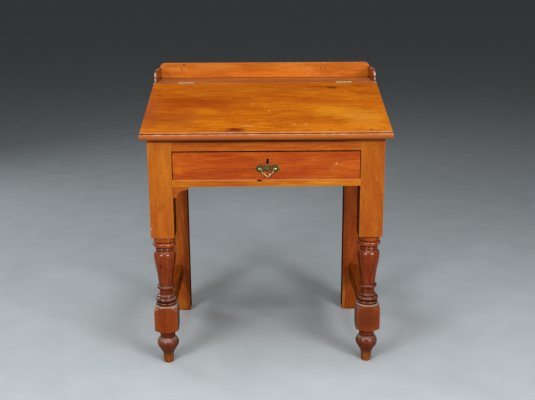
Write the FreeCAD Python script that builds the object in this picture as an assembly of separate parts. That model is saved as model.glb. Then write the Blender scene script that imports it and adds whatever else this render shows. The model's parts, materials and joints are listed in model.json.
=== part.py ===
import FreeCAD, Part
import math
import os

# A standing desk with a sloping lid, one drawer, turned front legs and plain rear posts.
# Millimetres and degrees. Z is up from the floor, X runs across the front, Y from front to back,
# and the origin is at the middle of the floor area that the desk covers.

# Overall sizes
lid_width = 900.0
lid_side_overhang = 23.25
carcass_depth = 620.0
top_height = 1032.5
nose_overhang = 30.0
lid_slope = 15.44

# Clearances shared by the joints
overrun = 5.0
seat_gap = 0.3
mortise_clearance = 0.15
mortise_end_room = 1.0
corner_tolerance = 0.01

# Lid and the fixed board behind it
lid_thickness = 28.0
lid_edge_inset = 6.5
lid_edge_step = 4.0
lid_end_bulge = 2.5
top_board_depth = 198.0
top_board_thickness = 25.0
hinge_gap = 1.0

# Gallery on the fixed board
gallery_height = 63.5
gallery_thickness = 13.0
gallery_back_inset = 6.5
gallery_corner_radius = 21.0
gallery_end_height = 46.0
gallery_end_thickness = 10.5
gallery_end_corner_radius = 28.0
gallery_end_setback = 36.0
gallery_tongue_thickness = 5.0
gallery_tongue_depth = 6.0
gallery_tongue_stop = 38.0

# Front legs
leg_size = 86.5
leg_square_drop = 194.0
foot_height = 127.0
block_height = 112.0
block_shoulder_rise = 21.0
block_shoulder_swell = 5.0
block_foot_rise = 19.0
block_foot_swell = 3.0

# Turned outlines: drop as a share of the turned length, radius and swell as shares of half the leg
turning_shares = (
    (0.000, 0.935, 0.000), (0.070, 0.915, 0.010), (0.076, 0.855, 0.000), (0.085, 0.855, 0.000),
    (0.151, 0.855, 0.130), (0.156, 0.700, 0.000), (0.167, 0.700, 0.000), (0.169, 0.745, 0.000),
    (0.200, 0.745, 0.025), (0.204, 0.705, 0.000), (0.211, 0.720, 0.000), (0.297, 0.950, 0.070),
    (0.433, 0.830, 0.010), (0.579, 0.687, -0.007), (0.712, 0.620, -0.010), (0.717, 0.650, 0.000),
    (0.766, 0.650, 0.125), (0.771, 0.590, 0.000), (0.848, 0.590, -0.010), (0.863, 0.715, -0.020),
    (0.876, 0.725, 0.015), (0.881, 0.690, 0.000), (0.892, 0.800, 0.000), (0.941, 0.800, 0.125),
    (0.947, 0.735, 0.000), (0.956, 0.735, 0.000), (0.958, 0.850, 0.000), (0.991, 0.850, 0.045),
    (1.000, 0.850, 0.000))
foot_shares = (
    (0.000, 0.690, 0.000), (0.160, 0.655, -0.010), (0.185, 0.720, 0.000), (0.345, 0.950, 0.060),
    (0.480, 0.850, 0.025), (0.606, 0.625, 0.000), (0.690, 0.510, -0.012), (0.760, 0.460, -0.006),
    (0.970, 0.415, 0.000), (1.000, 0.385, 0.000))

# Rear posts
rear_leg_width = 85.5
rear_leg_depth = 70.0
rear_tenon_width = 40.0
rear_tenon_depth = 34.0
rear_tenon_height = 11.0

# Stretchers
stretcher_thickness = 26.0
stretcher_height = 64.0
stretcher_rise = 6.5
stretcher_tenon_thickness = 10.0
stretcher_tenon_length = 25.0
stretcher_tenon_shoulder = 12.0

# Rails
top_rail_height = 48.2
top_rail_thickness = 24.0
drawer_rail_height = 25.5
drawer_rail_depth = 60.0
rail_tenon_length = 30.0
rail_tenon_thickness = 10.0
rail_tenon_shoulder = 9.0

# Bracket under the left end of the drawer rail, its outline as shares of its width and height
bracket_width = 59.0
bracket_height = 43.0
bracket_thickness = 20.0
bracket_setback = 3.0
bracket_lip_shares = ((0.970, 0.150), (0.760, 0.300), (0.520, 0.340))
bracket_hollow_shares = ((0.360, 0.520), (0.250, 0.830))
bracket_nose_shares = ((0.200, 0.900), (0.040, 1.000))

# Side and back panels
side_panel_thickness = 18.0
side_panel_setback = 8.0
panel_tenon_thickness = 8.0
panel_tenon_length = 22.0
panel_tenon_shares = ((0.08, 0.38), (0.56, 0.86))
back_panel_thickness = 15.0
back_panel_setback = 8.0
back_tongue_thickness = 7.0
back_tongue_length = 12.0
back_tongue_shoulder = 20.0

# Floor of the box under the lid
well_floor_thickness = 12.0
well_floor_housing = 6.0
well_floor_notch_room = 0.5

# Drawer opening and what the drawer runs on
drawer_opening = 106.3
runner_ledge = 30.0
runner_tenon_thickness = 10.0
runner_tenon_length = 12.0
runner_tenon_shoulder = 6.0
guide_height = 22.0
stop_width = 40.0
stop_depth = 25.0
stop_height = 6.0
stop_place_share = 0.55

# Drawer
drawer_side_gap = 3.0
drawer_top_gap = 4.6
drawer_run_gap = 0.3
drawer_back_room = 30.0
drawer_front_thickness = 22.0
drawer_front_lap = 7.0
drawer_side_thickness = 11.0
drawer_side_drop = 4.0
drawer_back_thickness = 10.0
drawer_back_drop = 8.0
drawer_bottom_rise = 9.0
drawer_bottom_thickness = 7.0
drawer_groove_depth = 5.0
front_tail_count = 3
back_tail_count = 2
tail_wide_share = 0.70
tail_narrow_share = 0.48
nail_radius = 1.2
nail_length = 18.0
nail_head_radius = 2.5
nail_head_height = 1.0
nail_place_shares = (-0.6, 0.0, 0.6)

# Butt hinges
hinge_end_distance = 134.0
hinge_length = 63.5
hinge_leaf_depth = 19.0
hinge_leaf_thickness = 2.0
hinge_leaf_room = 0.1
barrel_radius = 3.2
barrel_room = 0.4
knuckle_count = 5
knuckle_gap = 0.3
hinge_pin_radius = 1.5
hinge_pin_clearance = 0.05
hinge_screw_radius = 1.5
hinge_screw_length = 16.0
hinge_screw_head_radius = 2.9
hinge_screw_head_depth = 1.7
hinge_screw_slot_width = 0.6
hinge_screw_slot_depth = 0.7
hinge_screw_shares = (-0.34, 0.0, 0.34)
hinge_screw_drop_share = 0.62

# Drawer lock, with a bare keyhole
fittings_offset = 4.0
lock_plate_width = 60.0
lock_plate_height = 50.0
lock_plate_thickness = 2.0
lock_box_width = 48.0
lock_box_height = 44.0
lock_box_depth = 9.0
lock_wall = 1.6
bolt_width = 22.0
bolt_thickness = 5.0
bolt_height = 19.0
bolt_travel = 8.0
bolt_clearance = 0.1
bolt_socket_room = 1.0
keyhole_drop = 27.9
keyhole_radius = 4.8
keyhole_slot_width = 8.8
keyhole_length = 16.2
key_pin_radius = 1.3
lock_screw_radius = 1.1
lock_screw_length = 10.0
lock_screw_head_radius = 2.1
lock_screw_head_depth = 1.2
lock_screw_slot_width = 0.5
lock_screw_slot_depth = 0.5
lock_screw_inset = 2.8

# Drop handle: its half outline runs from the top middle to the bottom middle,
# as shares of half its width and half its height
pull_drop = 60.0
pull_half_width = 45.5
pull_half_height = 15.5
pull_plate_thickness = 1.6
pull_outline_shares = (
    ((0.06, 0.80), (0.14, 0.66)), ((0.34, 0.86), (0.56, 0.94)), ((0.74, 0.86), (0.84, 0.42)),
    ((0.94, 0.22), (1.00, 0.00)), ((0.93, -0.42), (0.80, -0.66)), ((0.68, -0.98), (0.54, -0.70)),
    ((0.40, -0.50), (0.26, -0.62)), ((0.12, -0.66), (0.00, -1.00)))
pull_piercing_radius = 2.6
pull_piercing_shares = ((0.27, 0.16), (0.40, -0.14))
post_spacing = 57.0
post_radius = 3.0
post_shank_radius = 2.4
post_ball_radius = 5.0
post_standoff = 7.0
post_tail = 1.5
nut_size = 9.0
nut_thickness = 3.5
bail_drop = 28.5
bail_radius = 2.4
bail_pivot_radius = 1.4
bail_pivot_clearance = 0.05
bail_end_room = 0.4
bail_pivot_tail = 0.8
bail_path_shares = (
    (1.02, 0.20), (0.88, 0.53), (0.54, 0.64), (0.34, 0.86), (0.14, 0.975), (0.00, 1.00))

# Places worked out from the sizes
half_lid = lid_width / 2
half_carcass = half_lid - lid_side_overhang
front_y = (nose_overhang - carcass_depth) / 2
back_y = front_y + carcass_depth
nose_y = front_y - nose_overhang
hinge_y = back_y - top_board_depth
hinge_place = half_lid - hinge_end_distance
slope = math.radians(lid_slope)
board_front = hinge_y + hinge_gap / 2
board_under = top_height - top_board_thickness
lid_rear = hinge_y - hinge_gap / 2
gallery_front = back_y - gallery_thickness
half_leg = leg_size / 2
leg_inner = half_carcass - leg_size
leg_back = front_y + leg_size
leg_x = half_carcass - half_leg
leg_y = front_y + half_leg
rear_inner = half_carcass - rear_leg_width
rear_front = back_y - rear_leg_depth
rear_x = half_carcass - rear_leg_width / 2
rear_y = back_y - rear_leg_depth / 2
panel_outer = half_carcass - side_panel_setback
panel_inner = panel_outer - side_panel_thickness
back_panel_rear = back_y - back_panel_setback
back_panel_front = back_panel_rear - back_panel_thickness
top_rail_back = front_y + top_rail_thickness
drawer_rail_back = front_y + drawer_rail_depth


def under_lid(y):
    """Height of the carcass edge that carries the lid, at a given depth."""
    return top_height - (hinge_y - y) * math.tan(slope) - (lid_thickness + seat_gap) / math.cos(slope)


drawer_head = under_lid(front_y) - top_rail_height
drawer_floor = drawer_head - drawer_opening
apron_bottom = drawer_floor - drawer_rail_height
square_end = apron_bottom - leg_square_drop
block_head = foot_height + block_height
corner_radius = half_leg * math.sqrt(2)
foot_neck_radius = half_leg * foot_shares[0][1]
block_neck_radius = half_leg * turning_shares[-1][1]
block_low_corner = foot_height + block_foot_rise
stretcher_bottom = block_low_corner + stretcher_rise
stretcher_top = stretcher_bottom + stretcher_height
drawer_half = leg_inner - drawer_side_gap
drawer_low = drawer_floor + drawer_run_gap
drawer_high = drawer_head - drawer_top_gap
drawer_end = rear_front - drawer_back_room
drawer_front_rear = front_y + drawer_front_thickness
bottom_under = drawer_low + drawer_bottom_rise
bottom_top = bottom_under + drawer_bottom_thickness
keyhole_z = drawer_high - keyhole_drop
pull_z = drawer_high - pull_drop
post_y = front_y - post_standoff


# Plain solids and cuts

def vec(x, y, z):
    return FreeCAD.Vector(x, y, z)


def block(x, y, z):
    """A box from three (low, high) spans."""
    return Part.makeBox(x[1] - x[0], y[1] - y[0], z[1] - z[0], vec(x[0], y[0], z[0]))


def around(middle, size):
    """The span of a size centred on a place."""
    return (middle - size / 2, middle + size / 2)


def grown(span, room):
    return (span[0] - room, span[1] + room)


def mortise(tenon, axis):
    """The pocket for a tenon: snug round its sides, with room at its end along the axis."""
    rooms = [mortise_clearance] * 3
    rooms[axis] = mortise_end_room
    return block(*[grown(span, room) for span, room in zip(tenon, rooms)])


def fused(shapes):
    first, *others = shapes
    return first.fuse(others).removeSplitter() if others else first


def mirrored(shape):
    return shape.mirror(vec(0, 0, 0), vec(1, 0, 0))


def sides(shape):
    """The left and right copies of a piece that was drawn on the right."""
    return (("left", mirrored(shape)), ("right", shape))


def rod(start, end, radius):
    reach = end - start
    return Part.makeCylinder(radius, reach.Length, start, reach)


def slab(points, reach):
    """An outline of straight edges, pushed out along a vector."""
    return Part.Face(Part.makePolygon(points + points[:1])).extrude(reach)


def slab_x(outline, x):
    return slab([vec(x[0], y, z) for y, z in outline], vec(x[1] - x[0], 0, 0))


def line(start, end):
    return Part.LineSegment(start, end).toShape()


def arc(start, middle, end):
    return Part.Arc(start, middle, end).toShape()


def turned(outline, x, y):
    """A solid of revolution on a vertical axis from (radius, height, swell) rows, top to bottom."""
    edges = []
    start = vec(x, y, outline[0][1])
    first = start
    previous = start
    for radius, height, swell in outline:
        point = vec(x + radius, y, height)
        if swell:
            middle = (previous + point) / 2 + vec(swell, 0, 0)
            edges.append(arc(previous, middle, point))
        else:
            edges.append(line(previous, point))
        previous = point
    last = vec(x, y, previous.z)
    edges.append(line(previous, last))
    edges.append(line(last, first))
    return Part.Face(Part.Wire(edges)).revolve(first, vec(0, 0, 1), 360)


def turned_rows(shares, top, length):
    """Rows of a turned outline in millimetres from its table of shares."""
    return [(half_leg * radius, top - length * drop, half_leg * swell) for drop, radius, swell in shares]


def screw_form(head, reach, head_radius, head_depth, radius, length):
    """A countersunk screw without its slot, from the middle of its head along a unit vector."""
    shank = Part.makeCylinder(radius, length, head, reach)
    cone = Part.makeCone(head_radius, radius, head_depth, head, reach)
    return fused([cone, shank])


def slotted(form, head, reach, head_radius, width, depth):
    low, high = sorted((head.y, head.y + reach.y * depth))
    slot = block(grown((head.x, head.x), head_radius), (low, high), around(head.z, width))
    return form.cut(slot)


# Joints that two pieces share

def rail_tenon(y, z):
    return ((leg_inner, leg_inner + rail_tenon_length), y, z)


top_rail_tenon = rail_tenon(
    around(front_y + top_rail_thickness / 2, rail_tenon_thickness),
    grown((drawer_head, drawer_head + top_rail_height), -rail_tenon_shoulder))
drawer_rail_tenon = rail_tenon(
    grown((front_y, drawer_rail_back), -rail_tenon_shoulder),
    around(drawer_floor - drawer_rail_height / 2, rail_tenon_thickness))

panel_tenon_x = around((panel_inner + panel_outer) / 2, panel_tenon_thickness)


def panel_tenons(y, top):
    """Tenon boxes at one end of a side panel, spread over its height there."""
    rise = top - apron_bottom
    return [(panel_tenon_x, y, (apron_bottom + low * rise, apron_bottom + high * rise))
            for low, high in panel_tenon_shares]


front_panel_tenons = panel_tenons((leg_back - panel_tenon_length, leg_back), under_lid(leg_back))
rear_panel_tenons = panel_tenons((rear_front, rear_front + panel_tenon_length), board_under)

stretcher_tenon_z = grown((stretcher_bottom, stretcher_top), -stretcher_tenon_shoulder)
stretcher_tenon_x = around(leg_x, stretcher_tenon_thickness)
front_stretcher_tenon = (stretcher_tenon_x, (leg_back - stretcher_tenon_length, leg_back), stretcher_tenon_z)
rear_stretcher_tenon = (stretcher_tenon_x, (rear_front, rear_front + stretcher_tenon_length), stretcher_tenon_z)

runner_inner = leg_inner - runner_ledge
runner_tenon_z = around(drawer_floor - drawer_rail_height / 2, runner_tenon_thickness)
front_runner_tenon = (
    grown((runner_inner, leg_inner), -runner_tenon_shoulder),
    (drawer_rail_back - runner_tenon_length, drawer_rail_back), runner_tenon_z)
rear_runner_tenon = (
    grown((rear_inner, panel_inner), -runner_tenon_shoulder),
    (rear_front, rear_front + runner_tenon_length), runner_tenon_z)

back_tongue = (
    (rear_inner, rear_inner + back_tongue_length),
    around((back_panel_front + back_panel_rear) / 2, back_tongue_thickness),
    grown((apron_bottom, board_under), -back_tongue_shoulder))

rear_top_tenon = (
    around(rear_x, rear_tenon_width), around(rear_y, rear_tenon_depth),
    (board_under, board_under + rear_tenon_height))

gallery_tongue_z = (top_height - gallery_tongue_depth, top_height)
gallery_back_tongue = (
    grown((-half_lid, half_lid), -gallery_tongue_stop),
    around(back_y - gallery_thickness / 2, gallery_tongue_thickness), gallery_tongue_z)
gallery_end_tongue = (
    around(half_lid - gallery_end_thickness / 2, gallery_tongue_thickness),
    grown((hinge_y + gallery_end_setback, gallery_front), -gallery_tongue_stop), gallery_tongue_z)


# Frame pieces, drawn on the right

def front_leg():
    head = slab_x([(front_y, square_end), (leg_back, square_end), (leg_back, under_lid(leg_back)),
                   (front_y, under_lid(front_y))], (leg_inner, half_carcass))
    turning = turned(turned_rows(turning_shares, square_end, square_end - block_head), leg_x, leg_y)
    shoulders = turned([(block_neck_radius, block_head, 0),
                        (corner_radius, block_head - block_shoulder_rise, block_shoulder_swell),
                        (corner_radius, block_low_corner, 0),
                        (foot_neck_radius, foot_height, block_foot_swell)], leg_x, leg_y)
    square = block((leg_inner, half_carcass), (front_y, leg_back), (foot_height, block_head))
    foot = turned(turned_rows(foot_shares, foot_height, foot_height), leg_x, leg_y)
    pockets = [mortise(top_rail_tenon, 0), mortise(drawer_rail_tenon, 0), mortise(front_stretcher_tenon, 1)]
    pockets += [mortise(tenon, 1) for tenon in front_panel_tenons]
    return fused([head, turning, square.common(shoulders), foot]).cut(pockets)


def rear_leg():
    post = block((rear_inner, half_carcass), (rear_front, back_y), (0, board_under))
    pockets = [mortise(back_tongue, 0), mortise(rear_stretcher_tenon, 1), mortise(rear_runner_tenon, 1)]
    pockets += [mortise(tenon, 1) for tenon in rear_panel_tenons]
    return fused([post, block(*rear_top_tenon)]).cut(pockets)


def stretcher():
    board = block(around(leg_x, stretcher_thickness), (leg_back, rear_front), (stretcher_bottom, stretcher_top))
    return fused([board, block(*front_stretcher_tenon), block(*rear_stretcher_tenon)])


def side_panel(floor):
    outline = [(leg_back, apron_bottom), (rear_front, apron_bottom), (rear_front, board_under),
               (board_front, board_under), (board_front, under_lid(board_front)),
               (leg_back, under_lid(leg_back))]
    board = slab_x(outline, (panel_inner, panel_outer))
    tenons = [block(*tenon) for tenon in front_panel_tenons + rear_panel_tenons]
    return fused([board] + tenons).cut(floor)


def both_ends(tenon):
    solid = block(*tenon)
    return [solid, mirrored(solid)]


def back_panel(floor):
    board = block((-rear_inner, rear_inner), (back_panel_front, back_panel_rear), (apron_bottom, board_under))
    return fused([board] + both_ends(back_tongue)).cut(floor)


def front_top_rail(floor):
    outline = [(front_y, drawer_head), (top_rail_back, drawer_head), (top_rail_back, under_lid(top_rail_back)),
               (front_y, under_lid(front_y))]
    board = slab_x(outline, (-leg_inner, leg_inner))
    return fused([board] + both_ends(top_rail_tenon)).cut([floor, bolt_socket()])


def drawer_rail():
    board = block((-leg_inner, leg_inner), (front_y, drawer_rail_back), (apron_bottom, drawer_floor))
    pocket = mortise(front_runner_tenon, 1)
    return fused([board] + both_ends(drawer_rail_tenon)).cut([pocket, mirrored(pocket)])


def well_floor():
    across = panel_inner + well_floor_housing
    board = block((-across, across), (top_rail_back - well_floor_housing, back_panel_front + well_floor_housing),
                  (drawer_head, drawer_head + well_floor_thickness))
    height = grown((drawer_head, drawer_head + well_floor_thickness), overrun)
    front_notch = block((leg_inner - well_floor_notch_room, half_carcass),
                        (front_y, leg_back + well_floor_notch_room), height)
    rear_notch = block((rear_inner - well_floor_notch_room, half_carcass),
                       (rear_front - well_floor_notch_room, back_y), height)
    notches = [front_notch, rear_notch]
    return board.cut(notches + [mirrored(notch) for notch in notches] + [bolt_socket()])


def drawer_runner():
    height = (apron_bottom, drawer_floor)
    bar = block((runner_inner, panel_inner), (leg_back, rear_front), height)
    nose = block((runner_inner, leg_inner), (drawer_rail_back, leg_back), height)
    return fused([bar, nose, block(*front_runner_tenon), block(*rear_runner_tenon)])


def drawer_guide():
    return block((leg_inner, panel_inner), (leg_back, rear_front), (drawer_floor, drawer_floor + guide_height))


def drawer_stop():
    start = drawer_front_rear + seat_gap
    return block(around(leg_inner * stop_place_share, stop_width), (start, start + stop_depth),
                 (drawer_floor, drawer_floor + stop_height))


def rail_bracket():
    def place(across, down):
        return vec(across * bracket_width - leg_inner, front_y + bracket_setback,
                   apron_bottom - down * bracket_height)

    lip = [place(*share) for share in bracket_lip_shares]
    hollow = [place(*share) for share in bracket_hollow_shares]
    nose = [place(*share) for share in bracket_nose_shares]
    corner = place(0, 0)
    tip = place(1, 0)
    heel = place(0, 1)
    edges = [line(corner, tip), line(tip, lip[0]), arc(*lip), arc(lip[-1], *hollow), line(hollow[-1], nose[0]),
             line(nose[0], nose[1]), line(nose[1], heel), line(heel, corner)]
    return Part.Face(Part.Wire(edges)).extrude(vec(0, bracket_thickness, 0))


# Top board and gallery

def top_board(cuts):
    board = block((-half_lid, half_lid), (board_front, back_y), (board_under, top_height))
    paired = [mortise(rear_top_tenon, 2), mortise(gallery_end_tongue, 2)]
    pockets = paired + [mirrored(pocket) for pocket in paired] + [mortise(gallery_back_tongue, 2)]
    return board.cut(pockets + cuts)


def corner_edges(board, corners, axis):
    """The edges of a board that run along an axis and pass through the given corners."""
    chosen = []
    for edge in board.Edges:
        middle = edge.CenterOfMass
        for corner in corners:
            gap = middle - corner
            gap[axis] = 0
            if gap.Length < corner_tolerance and edge.tangentAt(edge.FirstParameter)[axis]:
                chosen.append(edge)
    return chosen


def gallery_back():
    top = top_height + gallery_height
    ends = grown((-half_lid, half_lid), -gallery_back_inset)
    board = block(ends, (gallery_front, back_y), (top_height, top))
    corners = [vec(x, 0, top) for x in ends]
    board = board.makeFillet(gallery_corner_radius, corner_edges(board, corners, 1))
    return fused([board, block(*gallery_back_tongue)])


def gallery_end():
    top = top_height + gallery_end_height
    start = hinge_y + gallery_end_setback
    board = block((half_lid - gallery_end_thickness, half_lid), (start, gallery_front), (top_height, top))
    board = board.makeFillet(gallery_end_corner_radius, corner_edges(board, [vec(0, start, top)], 0))
    return fused([board, block(*gallery_end_tongue)])


# Lid, whose front edge is a small step over a round nose; its two ends are plain and a little rounded

nose_middle = (lid_edge_step + lid_thickness) / 2
nose_half = (lid_thickness - lid_edge_step) / 2
nose_radius = (nose_half ** 2 + lid_edge_inset ** 2) / (2 * lid_edge_inset)
lid_length = nose_radius + (hinge_y + nose_middle * math.sin(slope) - nose_radius - nose_y) / math.cos(slope)


def lid_place(x, run, depth):
    """A point of the lid: across, down the slope from the hinge line, and below the top face."""
    y = hinge_y - run * math.cos(slope) + depth * math.sin(slope)
    z = top_height - run * math.sin(slope) - depth * math.cos(slope)
    return vec(x, y, z)


def lid_rear_place(x, depth):
    """A point on the upright rear edge of the lid, where a layer of the lid meets it."""
    run = (hinge_y - lid_rear + depth * math.sin(slope)) / math.cos(slope)
    return lid_place(x, run, depth)


def lid(cuts):
    ledge = lid_length - lid_edge_inset
    x = -half_lid
    front = [lid_place(x, ledge, 0), lid_place(x, ledge, lid_edge_step), lid_place(x, lid_length, nose_middle),
             lid_place(x, ledge, lid_thickness)]
    rear = [lid_rear_place(x, lid_thickness), lid_rear_place(x, 0)]
    edges = [line(rear[1], front[0]), line(front[0], front[1]), arc(*front[1:]), line(front[3], rear[0]),
             line(rear[0], rear[1])]
    along = Part.Face(Part.Wire(edges)).extrude(vec(lid_width, 0, 0))

    inner = half_lid - lid_end_bulge
    right = [lid_place(inner, -lid_thickness, 0), lid_place(half_lid, -lid_thickness, lid_thickness / 2),
             lid_place(inner, -lid_thickness, lid_thickness)]
    left = [vec(-point.x, point.y, point.z) for point in right]
    edges = [line(left[0], right[0]), arc(*right), line(right[2], left[2]), arc(*left[::-1])]
    reach = lid_place(0, lid_length + lid_thickness, 0) - lid_place(0, -lid_thickness, 0)
    across = Part.Face(Part.Wire(edges)).extrude(reach)
    return along.common(across).cut(cuts)


# Butt hinges: the leaves lie in the joint behind the lid, and only the barrel shows above it

knuckle_pitch = hinge_length / knuckle_count
hinge_screw_z = top_height - hinge_leaf_depth * hinge_screw_drop_share


def barrel(x, index, radius, room):
    """The cylinder of one knuckle of the hinge centred on x, with room at its ends."""
    start = x - hinge_length / 2 + index * knuckle_pitch
    low, high = grown((start, start + knuckle_pitch), room)
    return rod(vec(low, hinge_y, top_height), vec(high, hinge_y, top_height), radius)


def hinge_leaf(x, facing, own):
    """One leaf; facing is 1 for the top board's and -1 for the lid's, own lists its knuckles."""
    inner = hinge_y + facing * hinge_gap / 2
    outer = inner + facing * hinge_leaf_thickness
    plate = block(around(x, hinge_length), sorted((inner, outer)), (top_height - hinge_leaf_depth, top_height))
    others = [index for index in range(knuckle_count) if index not in own]
    plate = plate.cut([barrel(x, index, barrel_radius + barrel_room, 0) for index in others])
    rings = [barrel(x, index, barrel_radius, -knuckle_gap / 2) for index in own]
    leaf = fused([plate] + rings)
    clearance = 0 if facing > 0 else hinge_pin_clearance
    bores = [barrel(x, index, hinge_pin_radius + clearance, 0) for index in own]
    return leaf.cut(bores + hinge_screw_forms(x, facing))


def hinge_screw_heads(x, facing):
    y = hinge_y + facing * hinge_gap / 2
    return [vec(x + share * hinge_length, y, hinge_screw_z) for share in hinge_screw_shares]


def hinge_screw_forms(x, facing):
    reach = vec(0, facing, 0)
    return [screw_form(head, reach, hinge_screw_head_radius, hinge_screw_head_depth, hinge_screw_radius,
                       hinge_screw_length) for head in hinge_screw_heads(x, facing)]


def hinge_screws(facing):
    """The screws of both hinges on one side of the joint."""
    reach = vec(0, facing, 0)
    screws = []
    for x in (-hinge_place, hinge_place):
        for head, form in zip(hinge_screw_heads(x, facing), hinge_screw_forms(x, facing)):
            screws.append(slotted(form, head, reach, hinge_screw_head_radius, hinge_screw_slot_width,
                                  hinge_screw_slot_depth))
    return Part.makeCompound(screws)


def hinge_pin(x):
    start = x - hinge_length / 2
    return rod(vec(start, hinge_y, top_height), vec(start + hinge_length, hinge_y, top_height), hinge_pin_radius)


def hinge_cuts(facing):
    """What both hinges take out of the top board or the lid."""
    inner = hinge_y + facing * hinge_gap / 2
    outer = inner + facing * hinge_leaf_thickness
    cuts = []
    for x in (-hinge_place, hinge_place):
        across = around(x, hinge_length + 2 * hinge_leaf_room)
        height = (top_height - hinge_leaf_depth - hinge_leaf_room, top_height + overrun)
        cuts.append(block(across, sorted((inner - facing * overrun, outer)), height))
        cuts.append(rod(vec(across[0], hinge_y, top_height), vec(across[1], hinge_y, top_height),
                        barrel_radius + barrel_room))
        cuts += hinge_screw_forms(x, facing)
    return cuts


# Drawer

def dovetails(wide_y, narrow_y, low, high, count, x):
    """Tails side by side over a height, wide at one depth and narrow at the other."""
    pitch = (high - low) / count
    wide = pitch * tail_wide_share / 2
    narrow = pitch * tail_narrow_share / 2
    tails = []
    for index in range(count):
        middle = low + pitch * (2 * index + 1) / 2
        outline = [(wide_y, middle - wide), (wide_y, middle + wide), (narrow_y, middle + narrow),
                   (narrow_y, middle - narrow)]
        tails.append(slab_x(outline, x))
    return tails


drawer_side_x = (drawer_half - drawer_side_thickness, drawer_half)
drawer_side_high = drawer_high - drawer_side_drop
drawer_back_high = drawer_side_high - drawer_back_drop
drawer_back_front = drawer_end - drawer_back_thickness
drawer_front_shoulder = front_y + drawer_front_lap


def drawer_bottom_blank():
    across = drawer_half - drawer_side_thickness + drawer_groove_depth
    return block((-across, across), (drawer_front_rear - drawer_groove_depth, drawer_end),
                 (bottom_under, bottom_top))


def drawer_back_blank():
    board = block((-drawer_half, drawer_half), (drawer_back_front, drawer_end), (bottom_top, drawer_back_high))
    tails = dovetails(drawer_end, drawer_back_front, bottom_top, drawer_back_high, back_tail_count, drawer_side_x)
    return board.cut(tails + [mirrored(tail) for tail in tails])


def drawer_front_blank():
    board = block((-drawer_half, drawer_half), (front_y, drawer_front_rear), (drawer_low, drawer_high))
    tails = dovetails(drawer_front_shoulder, drawer_front_rear, drawer_low, drawer_side_high, front_tail_count,
                      drawer_side_x)
    return board.cut(tails + [mirrored(tail) for tail in tails])


def drawer_side(front, back, bottom):
    board = block(drawer_side_x, (drawer_front_shoulder, drawer_end), (drawer_low, drawer_side_high))
    return board.cut([front, back, bottom])


def nail_forms():
    """Nails up through the drawer bottom into the drawer back."""
    nails = []
    for share in nail_place_shares:
        foot = vec(share * drawer_half, (drawer_back_front + drawer_end) / 2, bottom_under)
        head_low = foot - vec(0, 0, nail_head_height)
        nails.append(fused([rod(foot, foot + vec(0, 0, nail_length), nail_radius),
                            rod(head_low, foot, nail_head_radius)]))
    return nails


# Drawer lock, let into the back and the top edge of the drawer front

lock_x = fittings_offset
lock_plate_front = drawer_front_rear - lock_plate_thickness
lock_box_front = lock_plate_front - lock_box_depth
lock_roof = drawer_high - lock_plate_thickness
bolt_y = (lock_plate_front - bolt_clearance - bolt_thickness, lock_plate_front - bolt_clearance)


def keyhole(y):
    bow = rod(vec(lock_x, y[0], keyhole_z), vec(lock_x, y[1], keyhole_z), keyhole_radius)
    return fused([bow, block(around(lock_x, keyhole_slot_width), y, (keyhole_z - keyhole_length, keyhole_z))])


def lock_blocks():
    """The back plate, the top plate and the box of the lock, each as a plain block."""
    plate = block(around(lock_x, lock_plate_width), (lock_plate_front, drawer_front_rear),
                  (drawer_high - lock_plate_height, drawer_high))
    roof = block(around(lock_x, lock_plate_width), (lock_box_front, drawer_front_rear), (lock_roof, drawer_high))
    box = block(around(lock_x, lock_box_width), (lock_box_front, lock_plate_front),
                (lock_roof - lock_box_height, lock_roof))
    return [plate, roof, box]


def lock_screw_heads():
    across = lock_plate_width / 2 - lock_screw_inset
    inset = lock_plate_thickness + lock_screw_inset
    low = drawer_high - lock_plate_height + lock_screw_inset
    return [vec(lock_x + side * across, drawer_front_rear, z) for side in (-1, 1) for z in (low, drawer_high - inset)]


def lock_screw_forms():
    return [screw_form(head, vec(0, -1, 0), lock_screw_head_radius, lock_screw_head_depth, lock_screw_radius,
                       lock_screw_length) for head in lock_screw_heads()]


def lock_screws():
    return Part.makeCompound([
        slotted(form, head, vec(0, -1, 0), lock_screw_head_radius, lock_screw_slot_width, lock_screw_slot_depth)
        for head, form in zip(lock_screw_heads(), lock_screw_forms())])


def lock_case():
    inside = block(around(lock_x, lock_box_width - 2 * lock_wall), (lock_box_front + lock_wall, lock_plate_front),
                   (lock_roof - lock_box_height + lock_wall, lock_roof))
    slot = block(grown(around(lock_x, bolt_width), bolt_clearance), grown(bolt_y, bolt_clearance),
                 (lock_roof, drawer_high))
    case = fused(lock_blocks()).cut([inside, slot, keyhole((lock_box_front, lock_box_front + lock_wall))])
    pin = rod(vec(lock_x, lock_box_front, keyhole_z), vec(lock_x, lock_plate_front, keyhole_z), key_pin_radius)
    return fused([case, pin]).cut(lock_screw_forms())


def lock_bolt():
    return block(around(lock_x, bolt_width), bolt_y, (drawer_high - bolt_height, drawer_high))


def bolt_socket():
    """The pocket in the top rail and the floor behind it that takes the thrown bolt."""
    return block(grown(around(lock_x, bolt_width), bolt_socket_room), grown(bolt_y, bolt_socket_room),
                 (drawer_head - overrun, drawer_high + bolt_travel + bolt_socket_room))


# Drop handle

post_places = [fittings_offset - post_spacing / 2, fittings_offset + post_spacing / 2]
plate_front = front_y - pull_plate_thickness
post_rear = drawer_front_rear + nut_thickness + post_tail


def post_holes(y):
    return [rod(vec(x, y[0], pull_z), vec(x, y[1], pull_z), post_shank_radius) for x in post_places]


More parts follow.
